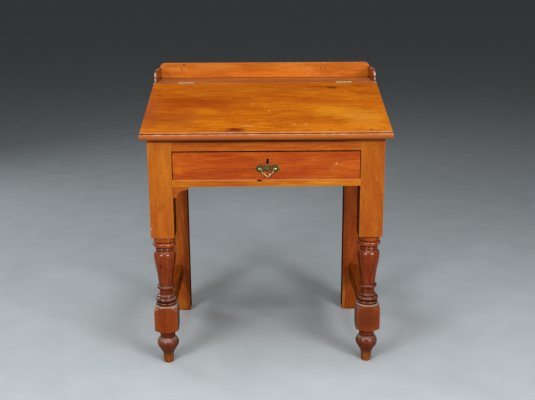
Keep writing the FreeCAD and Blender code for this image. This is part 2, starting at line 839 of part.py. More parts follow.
def pull_backplate():
    def place(across, up):
        return vec(fittings_offset + across * pull_half_width, plate_front, pull_z + up * pull_half_height)

    edges = []
    for hand in (1, -1):
        previous = place(0, 1)
        for middle, end in pull_outline_shares:
            point = place(hand * end[0], end[1])
            edges.append(arc(previous, place(hand * middle[0], middle[1]), point))
            previous = point
    outline = Part.Wire(Part.__sortEdges__(edges))
    plate = Part.Face(outline).extrude(vec(0, pull_plate_thickness, 0))
    piercings = []
    for across, up in pull_piercing_shares:
        for hand in (-1, 1):
            start = place(hand * across, up)
            piercings.append(rod(start, start + vec(0, pull_plate_thickness, 0), pull_piercing_radius))
    return plate.cut(piercings + post_holes((plate_front, front_y)))


def pull_posts():
    posts = []
    for x in post_places:
        head = vec(x, post_y, pull_z)
        seat = vec(x, plate_front, pull_z)
        ball = Part.makeSphere(post_ball_radius, head)
        face = block(around(x, 2 * post_ball_radius), (post_y - post_ball_radius, plate_front),
                     around(pull_z, 2 * post_ball_radius))
        neck = rod(seat, head, post_radius)
        shank = rod(vec(x, post_rear, pull_z), seat, post_shank_radius)
        reach = vec(post_ball_radius + overrun, 0, 0)
        eye = rod(head - reach, head + reach, bail_pivot_radius + bail_pivot_clearance)
        posts.append(fused([ball.common(face), neck, shank]).cut(eye))
    return Part.makeCompound(posts)


def pull_nuts():
    nuts = []
    for x, hole in zip(post_places, post_holes((drawer_front_rear, drawer_front_rear + nut_thickness))):
        nut = block(around(x, nut_size), (drawer_front_rear, drawer_front_rear + nut_thickness),
                    around(pull_z, nut_size))
        nuts.append(nut.cut(hole))
    return Part.makeCompound(nuts)


def pull_bail():
    start = post_spacing / 2 - post_ball_radius - bail_radius - bail_end_room
    path = [(start, 0)] + [(across * start, -down * bail_drop) for across, down in bail_path_shares]
    points = [vec(fittings_offset + x, post_y, pull_z + z) for x, z in path]
    points += [vec(fittings_offset - x, post_y, pull_z + z) for x, z in reversed(path[:-1])]
    solids = [Part.makeSphere(bail_radius, point) for point in points]
    solids += [rod(here, there, bail_radius) for here, there in zip(points, points[1:])]
    tail = vec(post_spacing / 2 + post_ball_radius + bail_pivot_tail - start, 0, 0)
    solids.append(rod(points[0], points[0] + tail, bail_pivot_radius))
    solids.append(rod(points[-1], points[-1] - tail, bail_pivot_radius))
    return fused(solids)


# All the pieces by name

def pieces():
    named = {}
    floor = well_floor()
    named["well_floor"] = floor
    named["front_top_rail"] = front_top_rail(floor)
    named["drawer_rail"] = drawer_rail()
    named["back_panel"] = back_panel(floor)
    named["rail_bracket"] = rail_bracket()
    stop = drawer_stop()
    named["drawer_stops"] = Part.makeCompound([mirrored(stop), stop])
    for hand, shape in sides(front_leg()):
        named[f"front_{hand}_leg"] = shape
    for hand, shape in sides(rear_leg()):
        named[f"rear_{hand}_leg"] = shape
    paired = {"stretcher": stretcher(), "side_panel": side_panel(floor), "drawer_runner": drawer_runner(),
              "drawer_guide": drawer_guide()}
    for name, shape in paired.items():
        for hand, copy in sides(shape):
            named[f"{hand}_{name}"] = copy

    named["top_board"] = top_board(hinge_cuts(1))
    named["gallery_back"] = gallery_back()
    for hand, shape in sides(gallery_end()):
        named[f"gallery_{hand}_end"] = shape
    named["lid"] = lid(hinge_cuts(-1))

    fixed_knuckles = range(0, knuckle_count, 2)
    lid_knuckles = range(1, knuckle_count, 2)
    for hand, x in (("left", -hinge_place), ("right", hinge_place)):
        named[f"{hand}_hinge_fixed_leaf"] = hinge_leaf(x, 1, fixed_knuckles)
        named[f"{hand}_hinge_lid_leaf"] = hinge_leaf(x, -1, lid_knuckles)
        named[f"{hand}_hinge_pin"] = hinge_pin(x)
    named["fixed_leaf_screws"] = hinge_screws(1)
    named["lid_leaf_screws"] = hinge_screws(-1)

    front = drawer_front_blank()
    back = drawer_back_blank()
    bottom = drawer_bottom_blank()
    nails = nail_forms()
    for hand, shape in sides(drawer_side(front, back, bottom)):
        named[f"drawer_{hand}_side"] = shape
    fittings = lock_blocks() + lock_screw_forms() + post_holes((front_y, drawer_front_rear))
    named["drawer_front"] = front.cut([bottom, keyhole((front_y, drawer_front_rear))] + fittings)
    named["drawer_back"] = back.cut(nails)
    named["drawer_bottom"] = bottom.cut(nails)
    named["drawer_bottom_nails"] = Part.makeCompound(nails)
    named["lock_case"] = lock_case()
    named["lock_bolt"] = lock_bolt()
    named["lock_screws"] = lock_screws()
    named["pull_backplate"] = pull_backplate()
    named["pull_posts"] = pull_posts()
    named["pull_nuts"] = pull_nuts()
    named["pull_bail"] = pull_bail()
    return named


os.makedirs("parts", exist_ok=True)
for node, shape in pieces().items():
    shape.exportStep(f"parts/{node}.step")
    print(node, len(shape.Solids), shape.isValid(), round(shape.Volume))
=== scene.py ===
# %% [markdown]
# # A clerk's standing desk
# The desk is a sloping writing lid on a box with one drawer, carried by two turned front legs
# and two plain rear posts. Its joinery is already exact in the CAD frame, so Blender's work is
# what a camera sees: softened arrises, turned curves, old shellac, brass and wear.

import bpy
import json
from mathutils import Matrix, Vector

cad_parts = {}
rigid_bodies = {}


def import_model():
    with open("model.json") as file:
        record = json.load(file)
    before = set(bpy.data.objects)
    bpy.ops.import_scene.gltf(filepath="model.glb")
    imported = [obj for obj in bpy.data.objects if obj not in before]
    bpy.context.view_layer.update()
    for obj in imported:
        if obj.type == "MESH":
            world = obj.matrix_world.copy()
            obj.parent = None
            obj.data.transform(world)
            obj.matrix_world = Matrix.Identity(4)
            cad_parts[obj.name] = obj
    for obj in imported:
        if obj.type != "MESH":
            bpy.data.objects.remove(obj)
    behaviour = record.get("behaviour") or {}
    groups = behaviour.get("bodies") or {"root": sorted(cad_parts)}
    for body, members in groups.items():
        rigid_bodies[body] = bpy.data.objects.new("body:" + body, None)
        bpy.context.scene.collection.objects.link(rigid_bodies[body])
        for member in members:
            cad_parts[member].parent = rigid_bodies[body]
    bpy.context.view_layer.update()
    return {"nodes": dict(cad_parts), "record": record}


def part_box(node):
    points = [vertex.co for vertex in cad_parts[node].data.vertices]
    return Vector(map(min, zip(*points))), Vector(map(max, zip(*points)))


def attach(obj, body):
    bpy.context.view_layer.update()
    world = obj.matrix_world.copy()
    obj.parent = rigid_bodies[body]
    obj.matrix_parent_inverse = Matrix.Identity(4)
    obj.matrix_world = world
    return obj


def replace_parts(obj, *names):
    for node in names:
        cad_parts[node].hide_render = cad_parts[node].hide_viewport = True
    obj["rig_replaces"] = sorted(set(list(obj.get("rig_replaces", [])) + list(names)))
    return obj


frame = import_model()

import bmesh
import bpy
import json
import math
import random
from mathutils import Color, Matrix, Vector

scene = bpy.context.scene
nodes = frame["nodes"]
record = frame["record"]
slot_of = {row["node"]: row["material_slot"] for row in record["subparts"]}
body_of = {node: body for body, members in record["behaviour"]["bodies"].items() for node in members}

# %% [markdown]
# ## Camera
# The picture was taken from a standing person's eye height, three metres off, looking slightly
# down. A camera matrix can be typed as Euler angles, but building it from the view direction and
# the roll makes it plain what each number does.

# %% Camera
eye = Vector((-0.019323, -3.127362, 1.407982))
turn_right = math.radians(0.4568)
look_down = math.radians(14.8678)
roll = math.radians(-0.3193)
image_width = 535
focal_pixels = 805.286
sensor_width = 36.0

forward = Vector((math.sin(turn_right) * math.cos(look_down), math.cos(turn_right) * math.cos(look_down),
                  -math.sin(look_down)))
level = forward.cross(Vector((0, 0, 1))).normalized()
upright = level.cross(forward)
across = level * math.cos(roll) + upright * math.sin(roll)
upward = upright * math.cos(roll) - level * math.sin(roll)

camera = bpy.data.objects.new("camera", bpy.data.cameras.new("camera"))
camera.data.sensor_width = sensor_width
camera.data.lens = focal_pixels * sensor_width / image_width
camera.matrix_world = Matrix.Translation(eye) @ Matrix((across, upward, -forward)).transposed().to_4x4()
scene.collection.objects.link(camera)
scene.camera = camera
print("camera: lens", round(camera.data.lens, 2), "mm")

# %% [markdown]
# ## Materials from small steps
# A node tree grows fast, so a small class holds one material and gives each kind of node a short
# call. Any input may be a number, a colour or the socket of an earlier node.


# %% A surface and its nodes
def paint(red, green, blue):
    """A colour as it is seen on screen, 0 to 255, made linear for a shader."""
    seen = Color((red / 255, green / 255, blue / 255))
    return (*seen.from_srgb_to_scene_linear(), 1.0)


class Surface:
    def __init__(self, name):
        self.material = bpy.data.materials.new(name)
        self.material.use_nodes = True
        self.tree = self.material.node_tree
        self.shader = self.tree.nodes["Principled BSDF"]

    def feed(self, node, inputs):
        for key, value in inputs.items():
            if isinstance(value, bpy.types.NodeSocket):
                self.tree.links.new(value, node.inputs[key])
            else:
                node.inputs[key].default_value = value

    def node(self, kind, inputs=None, **settings):
        made = self.tree.nodes.new("ShaderNode" + kind)
        for key, value in settings.items():
            setattr(made, key, value)
        self.feed(made, inputs or {})
        return made

    def place(self):
        return self.node("TexCoord").outputs["Object"]

    def moved(self, vector, location=(0, 0, 0), rotation=(0, 0, 0), scale=(1, 1, 1), kind="POINT"):
        inputs = {"Vector": vector, "Location": location, "Rotation": rotation, "Scale": scale}
        return self.node("Mapping", inputs, vector_type=kind).outputs["Vector"]

    def math(self, operation, first, second):
        return self.node("Math", {0: first, 1: second}, operation=operation).outputs[0]

    def times(self, first, second):
        return self.math("MULTIPLY", first, second)

    def vector_math(self, operation, first, second=(0, 0, 0)):
        made = self.node("VectorMath", {0: first, 1: second}, operation=operation)
        return made.outputs["Value" if operation in ("LENGTH", "DOT_PRODUCT") else "Vector"]

    def noise(self, scale, detail, roughness=0.5, at=None, output="Fac"):
        inputs = {"Vector": at or self.place(), "Scale": scale, "Detail": detail, "Roughness": roughness}
        return self.node("TexNoise", inputs).outputs[output]

    def spread(self, value, low, high, to_low=0.0, to_high=1.0, smooth=False):
        inputs = {"Value": value, "From Min": low, "From Max": high, "To Min": to_low, "To Max": to_high}
        kind = "SMOOTHSTEP" if smooth else "LINEAR"
        return self.node("MapRange", inputs, interpolation_type=kind).outputs["Result"]

    def blend(self, factor, first, second, how="MIX"):
        made = self.node("Mix", {0: factor, 6: first, 7: second}, data_type="RGBA", blend_type=how)
        return made.outputs[2]

    def ramp(self, value, stops):
        made = self.node("ValToRGB", {"Fac": value})
        elements = made.color_ramp.elements
        while len(elements) < len(stops):
            elements.new(1.0)
        for element, (position, colour) in zip(elements, stops):
            element.position = position
            element.color = colour
        return made.outputs["Color"]

    def part(self, vector, axis):
        return self.node("SeparateXYZ", {"Vector": vector}).outputs[axis]

    def bump(self, height, distance, strength=1.0, under=None):
        inputs = {"Height": height, "Distance": distance, "Strength": strength}
        if under:
            inputs["Normal"] = under
        return self.node("Bump", inputs).outputs["Normal"]

    def finish(self, **inputs):
        self.feed(self.shader, {key.replace("_", " "): value for key, value in inputs.items()})
        return self.material


print("surface: a material grows from calls such as noise and ramp")

# %% [markdown]
# ## Floor and light
# The floor is one plain pale sheet, wide enough to fill the view. Two softboxes stand in front,
# left and right, a little above the desk, and give the turned legs their pair of highlights. A
# wide one overhead lights the lid, and a narrow strip over the camera draws the bright lines on
# the rings. A weak one behind, off to the left, keeps the back readable. Their power is set so
# that a colour renders about as it is written.

# %% Floor
floor_half = 250.0
floor_mesh = bmesh.new()
bmesh.ops.create_grid(floor_mesh, x_segments=1, y_segments=1, size=floor_half)
floor_data = bpy.data.meshes.new("studio_floor")
floor_mesh.to_mesh(floor_data)
floor_mesh.free()
floor = bpy.data.objects.new("studio_floor", floor_data)
scene.collection.objects.link(floor)

floor_surface = Surface("pale_floor")
mottle = floor_surface.noise(6.0, 5.0)
floor_colour = floor_surface.ramp(mottle, [(0.3, paint(201, 211, 215)), (0.7, paint(209, 218, 222))])
floor_data.materials.append(floor_surface.finish(Base_Color=floor_colour, Roughness=0.8))
print("floor:", 2 * floor_half, "m square")

# %% Lamps
lamp_target = Vector((0.0, 0.0, 0.6))
lamps = {
    "left_softbox": ((-2.0, -2.85, 2.0), (1.0, 1.0), 51.0),
    "right_softbox": ((2.1, -2.85, 2.0), (1.0, 1.0), 56.0),
    "overhead_softbox": ((0.0, -0.9, 3.7), (2.4, 2.4), 48.0),
    "strip_light": ((0.0, -2.4, 3.3), (2.6, 0.24), 13.0),
    "back_fill": ((-3.0, 2.2, 1.9), (1.0, 1.0), 18.0)}
for name, (place, (width, depth), power) in lamps.items():
    lamp = bpy.data.lights.new(name, "AREA")
    lamp.shape = "RECTANGLE"
    lamp.size = width
    lamp.size_y = depth
    lamp.energy = power
    stand = bpy.data.objects.new(name, lamp)
    stand.location = place
    stand.rotation_euler = (lamp_target - Vector(place)).to_track_quat("-Z", "Y").to_euler()
    scene.collection.objects.link(stand)

world = bpy.data.worlds.new("studio_air")
world.use_nodes = True
air = world.node_tree.nodes["Background"].inputs
air["Color"].default_value = (1.0, 1.0, 1.0, 1.0)
air["Strength"].default_value = 0.05
scene.world = world
scene.view_settings.view_transform = "Standard"
print("lamps:", ", ".join(lamps))

# %% [markdown]
# ## Old shellacked wood
# Every board is the same reddish softwood under shellac, so one function makes all the wood
# finishes. It is a solid texture, so the turned legs cut through the same grain as on a lathe.
# Noises of four sizes, drawn out along the grain, make the figure: clouds where the shellac has
# darkened, streaks of harder wood, fibres and pores. A slow drift bends them all into flames.

# %% Wood pattern
grain_turns = {"X": (0.0, 0.0, 0.0), "Y": (0.0, 0.0, -math.pi / 2), "Z": (0.0, math.pi / 2, 0.0)}
grain_lean = 0.02
drift_scale = (2.2, 6.0, 6.0)
figure_scales = {"clouds": (2.6, 9.0, 9.0), "streaks": (8.0, 95.0, 95.0), "fibres": (15.0, 430.0, 430.0)}
pore_scale = (40.0, 900.0, 900.0)
pore_threshold = (0.56, 0.68)


def along_grain(surface, grain, offset):
    """Object coordinates turned so that the grain runs along X, moved to a place in the log."""
    turned = surface.moved(surface.place(), rotation=grain_turns[grain])
    return surface.moved(turned, location=offset, rotation=(0.0, grain_lean, grain_lean / 2))


def wood_figure(surface, grain, offset, bend, shares):
    """A tone about 0.5 at each point, and the fibres and pores that also press into the polish."""
    line = along_grain(surface, grain, offset)
    drift = surface.noise(1.0, 2.0, at=surface.moved(line, scale=drift_scale), output="Color")
    wander = surface.vector_math("SUBTRACT", drift, (0.5, 0.5, 0.5))
    bent = surface.vector_math("ADD", line, surface.vector_math("MULTIPLY", wander, (bend, bend, bend)))
    tone = 0.5
    for scale, share in zip(figure_scales.values(), shares):
        layer = surface.noise(1.0, 3.0, 0.6, surface.moved(bent, scale=scale))
        swing = surface.times(surface.math("SUBTRACT", layer, 0.5), share)
        tone = surface.math("ADD", swing, tone)
    fibres = layer
    pores = surface.noise(1.0, 2.0, at=surface.moved(bent, scale=pore_scale))
    return tone, fibres, surface.spread(pores, *pore_threshold)


print("wood: grain can run along", ", ".join(grain_turns))

# %% [markdown]
# ## Wear, dirt and painted shade
# Shellac wears through first along the arrises. The Bevel node rounds the normal near an edge, so
# the angle between it and the true normal is a mask of the edges on any mesh. The Ambient
# Occlusion node finds corners and gaps, which hold dirt that a cloth never reaches and where shade
# falls, so its mask paints dirt and shade there together.

# %% Wear, dirt and painted shade
edge_reach = 0.0026


def edge_mask(surface):
    """Near 1 along an arris, where the rounded normal leaves the true one, and 0 on a flat."""
    rounded = surface.node("Bevel", {"Radius": edge_reach}, samples=4).outputs["Normal"]
    flat = surface.node("NewGeometry").outputs["Normal"]
    likeness = surface.vector_math("DOT_PRODUCT", rounded, flat)
    return surface.spread(likeness, 0.995, 0.86)


def crevice_mask(surface, reach, clean):
    """Near 1 in corners and gaps, where dirt and painted shade go, and 0 where that much air is open."""
    open_air = surface.node("AmbientOcclusion", {"Distance": reach}, samples=6).outputs["AO"]
    return surface.spread(open_air, clean, clean - 0.45)


def band(surface, value, low, high, soft):
    """1 between two values, fading out over a soft margin on both sides."""
    rise = surface.spread(value, low - soft, low, smooth=True)
    return surface.times(rise, surface.spread(value, high, high + soft, 1.0, 0.0, smooth=True))


def blot(surface, centre, size, strength, turn=0.0):
    """A soft uneven patch round a place, turned about Y, as strong as its share in the middle."""
    local = surface.moved(surface.place(), centre, (0.0, turn, 0.0), size, kind="TEXTURE")
    ragged = surface.noise(2.2, 4.0, at=local, output="Color")
    local = surface.vector_math("ADD", local, surface.vector_math("SUBTRACT", ragged, (0.5, 0.5, 0.5)))
    return surface.spread(surface.vector_math("LENGTH", local), 1.0, 0.15, 0.0, strength, smooth=True)


print("wear reaches", edge_reach * 1000, "mm from an arris")

# %% [markdown]
# ## One finish from its layers
# A finish is laid on as the years did it: bare colour by the figure, pores, marks, blotches, bruises,
# rubbed arrises, rings, chips, dust on ledges and dirt in corners. Some rings, marks and chips are
# painted shade, painted shadows and painted highlights, and the dark in corners is dirt and painted
# shade together. One long tree of nodes would do it, but a layer is a short function here, which
# takes a colour and gives a new one. Every board then passes only what differs from the plain look.

# %% Marks, rings and dust
ring_softness = 0.0007
dust_grey = (208, 178, 152)
dust_level = 0.25
dust_fade = 0.05
dust_side = 0.2


def marked(surface, colour, marks):
    """Lays soft patches of other colours over a colour."""
    for hue, *place in marks:
        colour = surface.blend(blot(surface, *place), colour, paint(*hue))
    return colour


def ringed(surface, colour, rings):
    """Lays level rings of other colours over a colour, as dirt, dust and painted shade lie on a turned leg.
    """
    for low, high, hue, strength in rings:
        ring = band(surface, surface.part(surface.place(), "Z"), low, high, ring_softness)
        colour = surface.blend(surface.times(ring, strength), colour, paint(*hue))
    return colour


def dusted(surface, colour, strength):
    """Leaves dust on what faces up, mostly low down, and more of it on the left."""
    place = surface.place()
    facing = surface.node("TexCoord").outputs["Normal"]
    ledge = surface.spread(surface.part(facing, "Z"), 0.25, 0.75)
    low = surface.spread(surface.part(place, "Z"), dust_level + dust_fade, dust_level, 0.2, 1.0)
    left = surface.spread(surface.part(place, "X"), -dust_side, dust_side, 1.0, 0.4)
    powder = surface.spread(surface.noise(95.0, 3.0), 0.36, 0.6, 0.0, strength)
    settled = surface.times(ledge, powder)
    settled = surface.times(settled, surface.times(low, left))
    return surface.blend(settled, colour, paint(*dust_grey))


def swung(surface, colour, value, swing):
    """Darkens a colour by a share where a value is low, and lightens it where the value is high."""
    return surface.blend(1.0, colour, surface.spread(value, 0.3, 0.7, 1.0 - swing, 1.0 + swing), "MULTIPLY")


print("layers: marks, rings", ring_softness * 1000, "mm soft, and dust below", dust_level, "m")


# %% Colour by height
def by_height(surface, colour, middle, zones):
    """Turns the plain colour into the one that each height has, and gives the gloss there."""
    base = paint(*middle)
    tints = []
    glosses = []
    for height, hue, gloss in zones:
        share = height / zones[-1][0]
        tints.append((share, tuple(min(1.0, want / have) for want, have in zip(paint(*hue), base))))
        glosses.append((share, (gloss, gloss, gloss, 1.0)))
    level = surface.math("DIVIDE", surface.part(surface.place(), "Z"), zones[-1][0])
    tinted = surface.blend(1.0, colour, surface.ramp(level, tints), "MULTIPLY")
    return tinted, surface.part(surface.ramp(level, glosses), "X")


print("zones: a height, the colour there and its roughness")

# %% Moulded front edge
nose_back = 0.01
nose_front = 0.002
nose_thickness = 0.028
edge_line = (0.0012, 0.0006)
quirk_start = 0.001
quirk_end = 0.0044
crest_end = 0.0064
quirk_softness = 0.0005
crest_softness = 0.0008
# The ovolo's reds darken to painted shade underneath; the pale edge and crest are wear and a painted
# highlight; the quirk is dirt and painted shade.
nose_reds_and_underside_shade = ((182, 104, 54), (170, 90, 44), (122, 54, 30))
edge_wear_and_highlight = (230, 164, 128)
quirk_dirt_and_shade = (66, 18, 18)
crest_wear_and_highlight = (236, 176, 130)


def moulded(surface, colour, moulding, patchy):
    """A redder ovolo darkening to painted shade underneath, a rubbed front edge with a painted highlight
    above it, dirt and painted shade in the quirk between, and a rubbed crest with a painted highlight.
    """
    point, normal, front = moulding
    below = surface.vector_math("SUBTRACT", point, surface.place())
    depth = surface.vector_math("DOT_PRODUCT", below, normal)
    near = surface.spread(surface.part(surface.place(), "Y"), front + nose_back, front + nose_front)
    stops = (quirk_end / nose_thickness, 0.55, 1.0)
    red = surface.ramp(surface.math("DIVIDE", depth, nose_thickness),
                       [(stop, paint(*hue)) for stop, hue in zip(stops, nose_reds_and_underside_shade)])
    edge = surface.spread(depth, *edge_line)
    # The quirk band carries dirt and painted shade, and the ridge band a rubbed crest with a painted
    # highlight.
    dirt = band(surface, depth, quirk_start, quirk_end, quirk_softness)
    ridge = band(surface, depth, quirk_end + quirk_softness, crest_end, crest_softness)
    layers = (
        (surface.spread(depth, quirk_end, crest_end, 0.0, 0.75), red),
        (surface.times(edge, surface.spread(patchy, 0.3, 0.6, 0.25, 0.75)), paint(*edge_wear_and_highlight)),
        (surface.times(dirt, 0.92), paint(*quirk_dirt_and_shade)),
        (surface.times(ridge, surface.spread(patchy, 0.4, 0.66, 0.05, 0.6)), paint(*crest_wear_and_highlight)))
    for mask, hue in layers:
        colour = surface.blend(surface.times(near, mask), colour, hue)
    return colour


print("moulding: painted from", nose_back * 1000, "mm behind the edge")

# %% Wood finish
plain_look = {
    "offset": (0.0, 0.11, 0.17), "bend": 0.06, "shares": (0.8, 0.75, 0.35), "flame": 0.0, "blotch": 0.0,
    "roughness": 0.36, "shine": 0.14, "worn": (226, 158, 96), "wear": 0.55, "bruises": 0.15,
    "reach": 0.008, "clean": 0.7, "dust": 0.0,
    "marks": (), "chips": (), "rings": (), "zones": (), "moulding": None}
tone_stops = (0.28, 0.5, 0.72)
pore_strength = 0.3
pore_brown = (70, 24, 8)
bruise_tan = (228, 172, 116)
# Strength and colour of the dirt and painted shade in corners and gaps.
grime_and_shade_strength = 0.97
dirt_and_shade_brown = (22, 7, 4)
sway_depth = 0.0008
pore_depth = 0.0002


def polished(surface, colour, gloss, shine, rubbed, fibres, pores):
    """Uneven gloss, duller where it is rubbed, on a slightly wavy face with open pores."""
    uneven = surface.spread(surface.noise(14.0, 3.0), 0.3, 0.7, -0.06, 0.08)
    gloss = surface.math("ADD", surface.math("ADD", uneven, gloss), surface.times(rubbed, 0.25))
    sway = surface.bump(surface.noise(9.0, 2.0), sway_depth, 0.35)
    relief = surface.math("SUBTRACT", surface.times(fibres, 0.5), pores)
    normal = surface.bump(relief, pore_depth, 0.35, sway)
    return surface.finish(Base_Color=colour, Roughness=gloss, Normal=normal, Specular_IOR_Level=shine)


def wood(name, grain, colours, **changes):
    """A wood finish: its grain, its dark, middle and light colour, and what isn't plain about it."""
    look = {**plain_look, **changes}
    surface = Surface(name)
    tone, fibres, pores = wood_figure(surface, grain, look["offset"], look["bend"], look["shares"])
    colour = surface.ramp(tone, [(stop, paint(*hue)) for stop, hue in zip(tone_stops, colours)])
    gloss = look["roughness"]
    if look["zones"]:
        colour, gloss = by_height(surface, colour, colours[1], look["zones"])
    colour = surface.blend(surface.times(pores, pore_strength), colour, paint(*pore_brown))
    colour = marked(surface, colour, look["marks"])
    if look["flame"]:
        colour = swung(surface, colour, tone, look["flame"])
    if look["blotch"]:
        colour = swung(surface, colour, surface.noise(75.0, 4.0, 0.65), look["blotch"])
    bruised = surface.spread(surface.noise(170.0, 1.0), 0.71, 0.76, 0.0, look["bruises"])
    colour = surface.blend(bruised, colour, paint(*bruise_tan))
    patchy = surface.noise(38.0, 4.0)
    if look["moulding"]:
        colour = moulded(surface, colour, look["moulding"], patchy)
    thin = surface.spread(patchy, 0.38, 0.62, 0.0, look["wear"])
    rubbed = surface.times(edge_mask(surface), thin)
    colour = surface.blend(rubbed, colour, paint(*look["worn"]))
    colour = ringed(surface, colour, look["rings"])
    # Real chips and dust go on here, and painted light too: shadows under the lid's nose, in the lid's rear
    # gap and in the rail's chip, and glints on the gallery ends.
    colour = marked(surface, colour, look["chips"])
    if look["dust"]:
        colour = dusted(surface, colour, look["dust"])
    # The AO mask paints dirt and painted shade together in corners and gaps.
    dirt_and_shade = surface.times(crevice_mask(surface, look["reach"], look["clean"]), grime_and_shade_strength)
    colour = surface.blend(dirt_and_shade, colour, paint(*dirt_and_shade_brown))
    return polished(surface, colour, gloss, look["shine"], rubbed, fibres, pores)


print("wood finish: a board may change", ", ".join(plain_look))

# %% [markdown]
# ## The wood finishes of this desk
# The lid is golden on the right and redder at the upper left, with a knot by the right hinge and
# a stain at the front. The strip behind it is duller, the gallery brighter, its ends dark, and the
# drawer front redder. On the front legs the colour follows the height: bright on the square head,
# deep red on the turning, browner on the block, and raw on the peg that touches the floor. A mark is
# a colour, a place on a face, its half size and its strength. Marks lie under the wear, and chips,
# with painted shadows and highlights among them, lie over it.

# %% Places on the faces
lid_face = max((face for face in nodes["lid"].data.polygons if face.normal.z > 0), key=lambda face: face.area)
lid_normal = tuple(lid_face.normal)
lid_slope = math.acos(lid_normal[2])
lid_ridge = max((vert.co for vert in nodes["lid"].data.vertices), key=lambda place: place.z)


def on_lid(across, away):
    return (across, away, lid_ridge.z - (lid_ridge.y - away) * math.tan(lid_slope))


def middle_of(node):
    low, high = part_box(node)
    return (low + high) / 2


def on_front(node):
    """A function that finds a place on the front face of a piece."""
    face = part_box(node)[0].y
    return lambda across, height: (across, face, height)


on_drawer = on_front("drawer_front")
on_stile = on_front("front_left_leg")
on_gallery = on_front("gallery_back")
print("lid slopes", round(math.degrees(lid_slope), 2), "degrees")

# %% Marks on the lid
lid_patches = (
    ((158, 58, 2), -0.284, -0.069, 0.28, 0.11, 0.75),
    ((164, 76, 18), -0.36, -0.214, 0.18, 0.11, 0.65),
    ((164, 76, 40), -0.435, -0.123, 0.06, 0.22, 0.5),
    ((230, 146, 22), 0.246, -0.146, 0.12, 0.09, 0.65),
    ((226, 146, 40), 0.359, -0.204, 0.13, 0.13, 0.6),
    ((206, 122, 14), -0.222, -0.141, 0.07, 0.04, 0.6),
    ((158, 70, 14), 0.391, 0.023, 0.075, 0.035, 0.5),
    ((146, 58, 8), 0.214, 0.085, 0.085, 0.018, 0.55),
    ((96, 36, 8), 0.265, 0.074, 0.03, 0.016, 0.9),
    ((112, 40, 8), 0.373, 0.09, 0.026, 0.012, 0.6),
    ((112, 28, 16), -0.109, -0.295, 0.056, 0.026, 0.9),
    ((224, 160, 96), -0.066, -0.265, 0.036, 0.008, 0.55),
    ((128, 50, 10), -0.246, -0.043, 0.022, 0.01, 0.55),
    ((116, 46, 12), -0.414, 0.011, 0.018, 0.009, 0.55),
    ((110, 50, 18), 0.374, -0.301, 0.012, 0.012, 0.7),
    ((118, 50, 14), 0.23, -0.302, 0.014, 0.007, 0.6),
    ((118, 50, 14), 0.15, -0.306, 0.02, 0.006, 0.6),
    ((226, 156, 108), 0.101, -0.255, 0.011, 0.009, 0.6),
    ((226, 156, 108), 0.144, -0.256, 0.008, 0.01, 0.6),
    ((230, 150, 80), 0.011, -0.142, 0.006, 0.014, 0.6),
    ((220, 150, 110), -0.049, -0.077, 0.01, 0.014, 0.4))
lid_marks = tuple((hue, on_lid(across, away), (length, width, width), strength)
                  for hue, across, away, length, width, strength in lid_patches)
gap_line = 0.1255
# The first, dark one is a painted shadow in the gap behind the lid's left end.
lid_chips = (
    ((84, 40, 36), on_lid(-0.412, gap_line), (0.06, 0.0022, 0.01), 0.9),
    ((196, 150, 126), on_lid(0.0, gap_line), (0.3, 0.0016, 0.01), 0.6),
    ((196, 150, 126), on_lid(0.41, gap_line), (0.05, 0.0016, 0.01), 0.6))
print("lid:", len(lid_marks), "marks and", len(lid_chips), "chips")

# %% Marks on the gallery and the strip
gallery_marks = (
    ((110, 48, 40), on_gallery(-0.342, 1.088), (0.013, 0.02, 0.007), 0.75),
    ((150, 66, 40), on_gallery(-0.352, 1.068), (0.006, 0.02, 0.02), 0.5),
    ((118, 50, 40), on_gallery(0.213, 1.067), (0.004, 0.02, 0.006), 0.7),
    ((118, 50, 40), on_gallery(0.237, 1.071), (0.005, 0.02, 0.01), 0.7),
    ((118, 50, 40), on_gallery(0.254, 1.07), (0.004, 0.02, 0.01), 0.7),
    ((168, 84, 44), on_gallery(0.312, 1.067), (0.012, 0.02, 0.009), 0.5),
    ((226, 112, 12), on_gallery(0.02, 1.046), (0.3, 0.03, 0.018), 0.45))
gallery_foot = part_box("gallery_back")[0].z
# A dark line along the gallery's foot where it meets the strip, and darker painted shade in its two end
# corners.
gallery_chips = (
    ((122, 46, 34), on_gallery(0.0, gallery_foot), (0.6, 0.02, 0.0022), 0.8),
    ((64, 38, 26), on_gallery(-0.39, gallery_foot), (0.08, 0.02, 0.0036), 0.95),
    ((84, 44, 28), on_gallery(0.41, gallery_foot), (0.06, 0.02, 0.0036), 0.9))
end_face, end_front, end_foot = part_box("gallery_right_end")[0]
end_edge = 0.447
# Pale spots on the ends' front edges and along their tops are painted glints; those at the foot are dust.
end_chips = tuple(chip for side in (-1, 1) for chip in (
    ((236, 212, 204), (side * end_edge, end_front, 1.062), (0.006, 0.012, 0.012), 0.75),
    ((230, 204, 196), (side * end_edge, end_front, 1.042), (0.005, 0.01, 0.01), 0.7),
    ((226, 200, 190), (side * 0.445, 0.23, 1.0785), (0.006, 0.06, 0.003), 0.7),
    ((216, 198, 190), (side * end_face, 0.3, end_foot), (0.005, 0.02, 0.005), 0.95),
    ((190, 164, 150), (side * end_face, 0.23, end_foot), (0.003, 0.06, 0.003), 0.7)))
strip_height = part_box("top_board")[1].z
strip_gap = gap_line + 0.003
strip_corner = gap_line + 0.01
strip_chips = (
    ((180, 134, 118), (-0.36, strip_gap, strip_height), (0.12, 0.006, 0.006), 0.8),
    ((188, 138, 114), (0.38, strip_gap, strip_height), (0.11, 0.006, 0.006), 0.8),
    ((198, 168, 154), (-0.445, strip_corner, strip_height), (0.01, 0.03, 0.006), 0.75),
    ((198, 168, 154), (0.445, strip_corner, strip_height), (0.01, 0.03, 0.006), 0.75))
print("gallery:", len(gallery_marks), "marks and", len(gallery_chips) + len(end_chips), "chips")

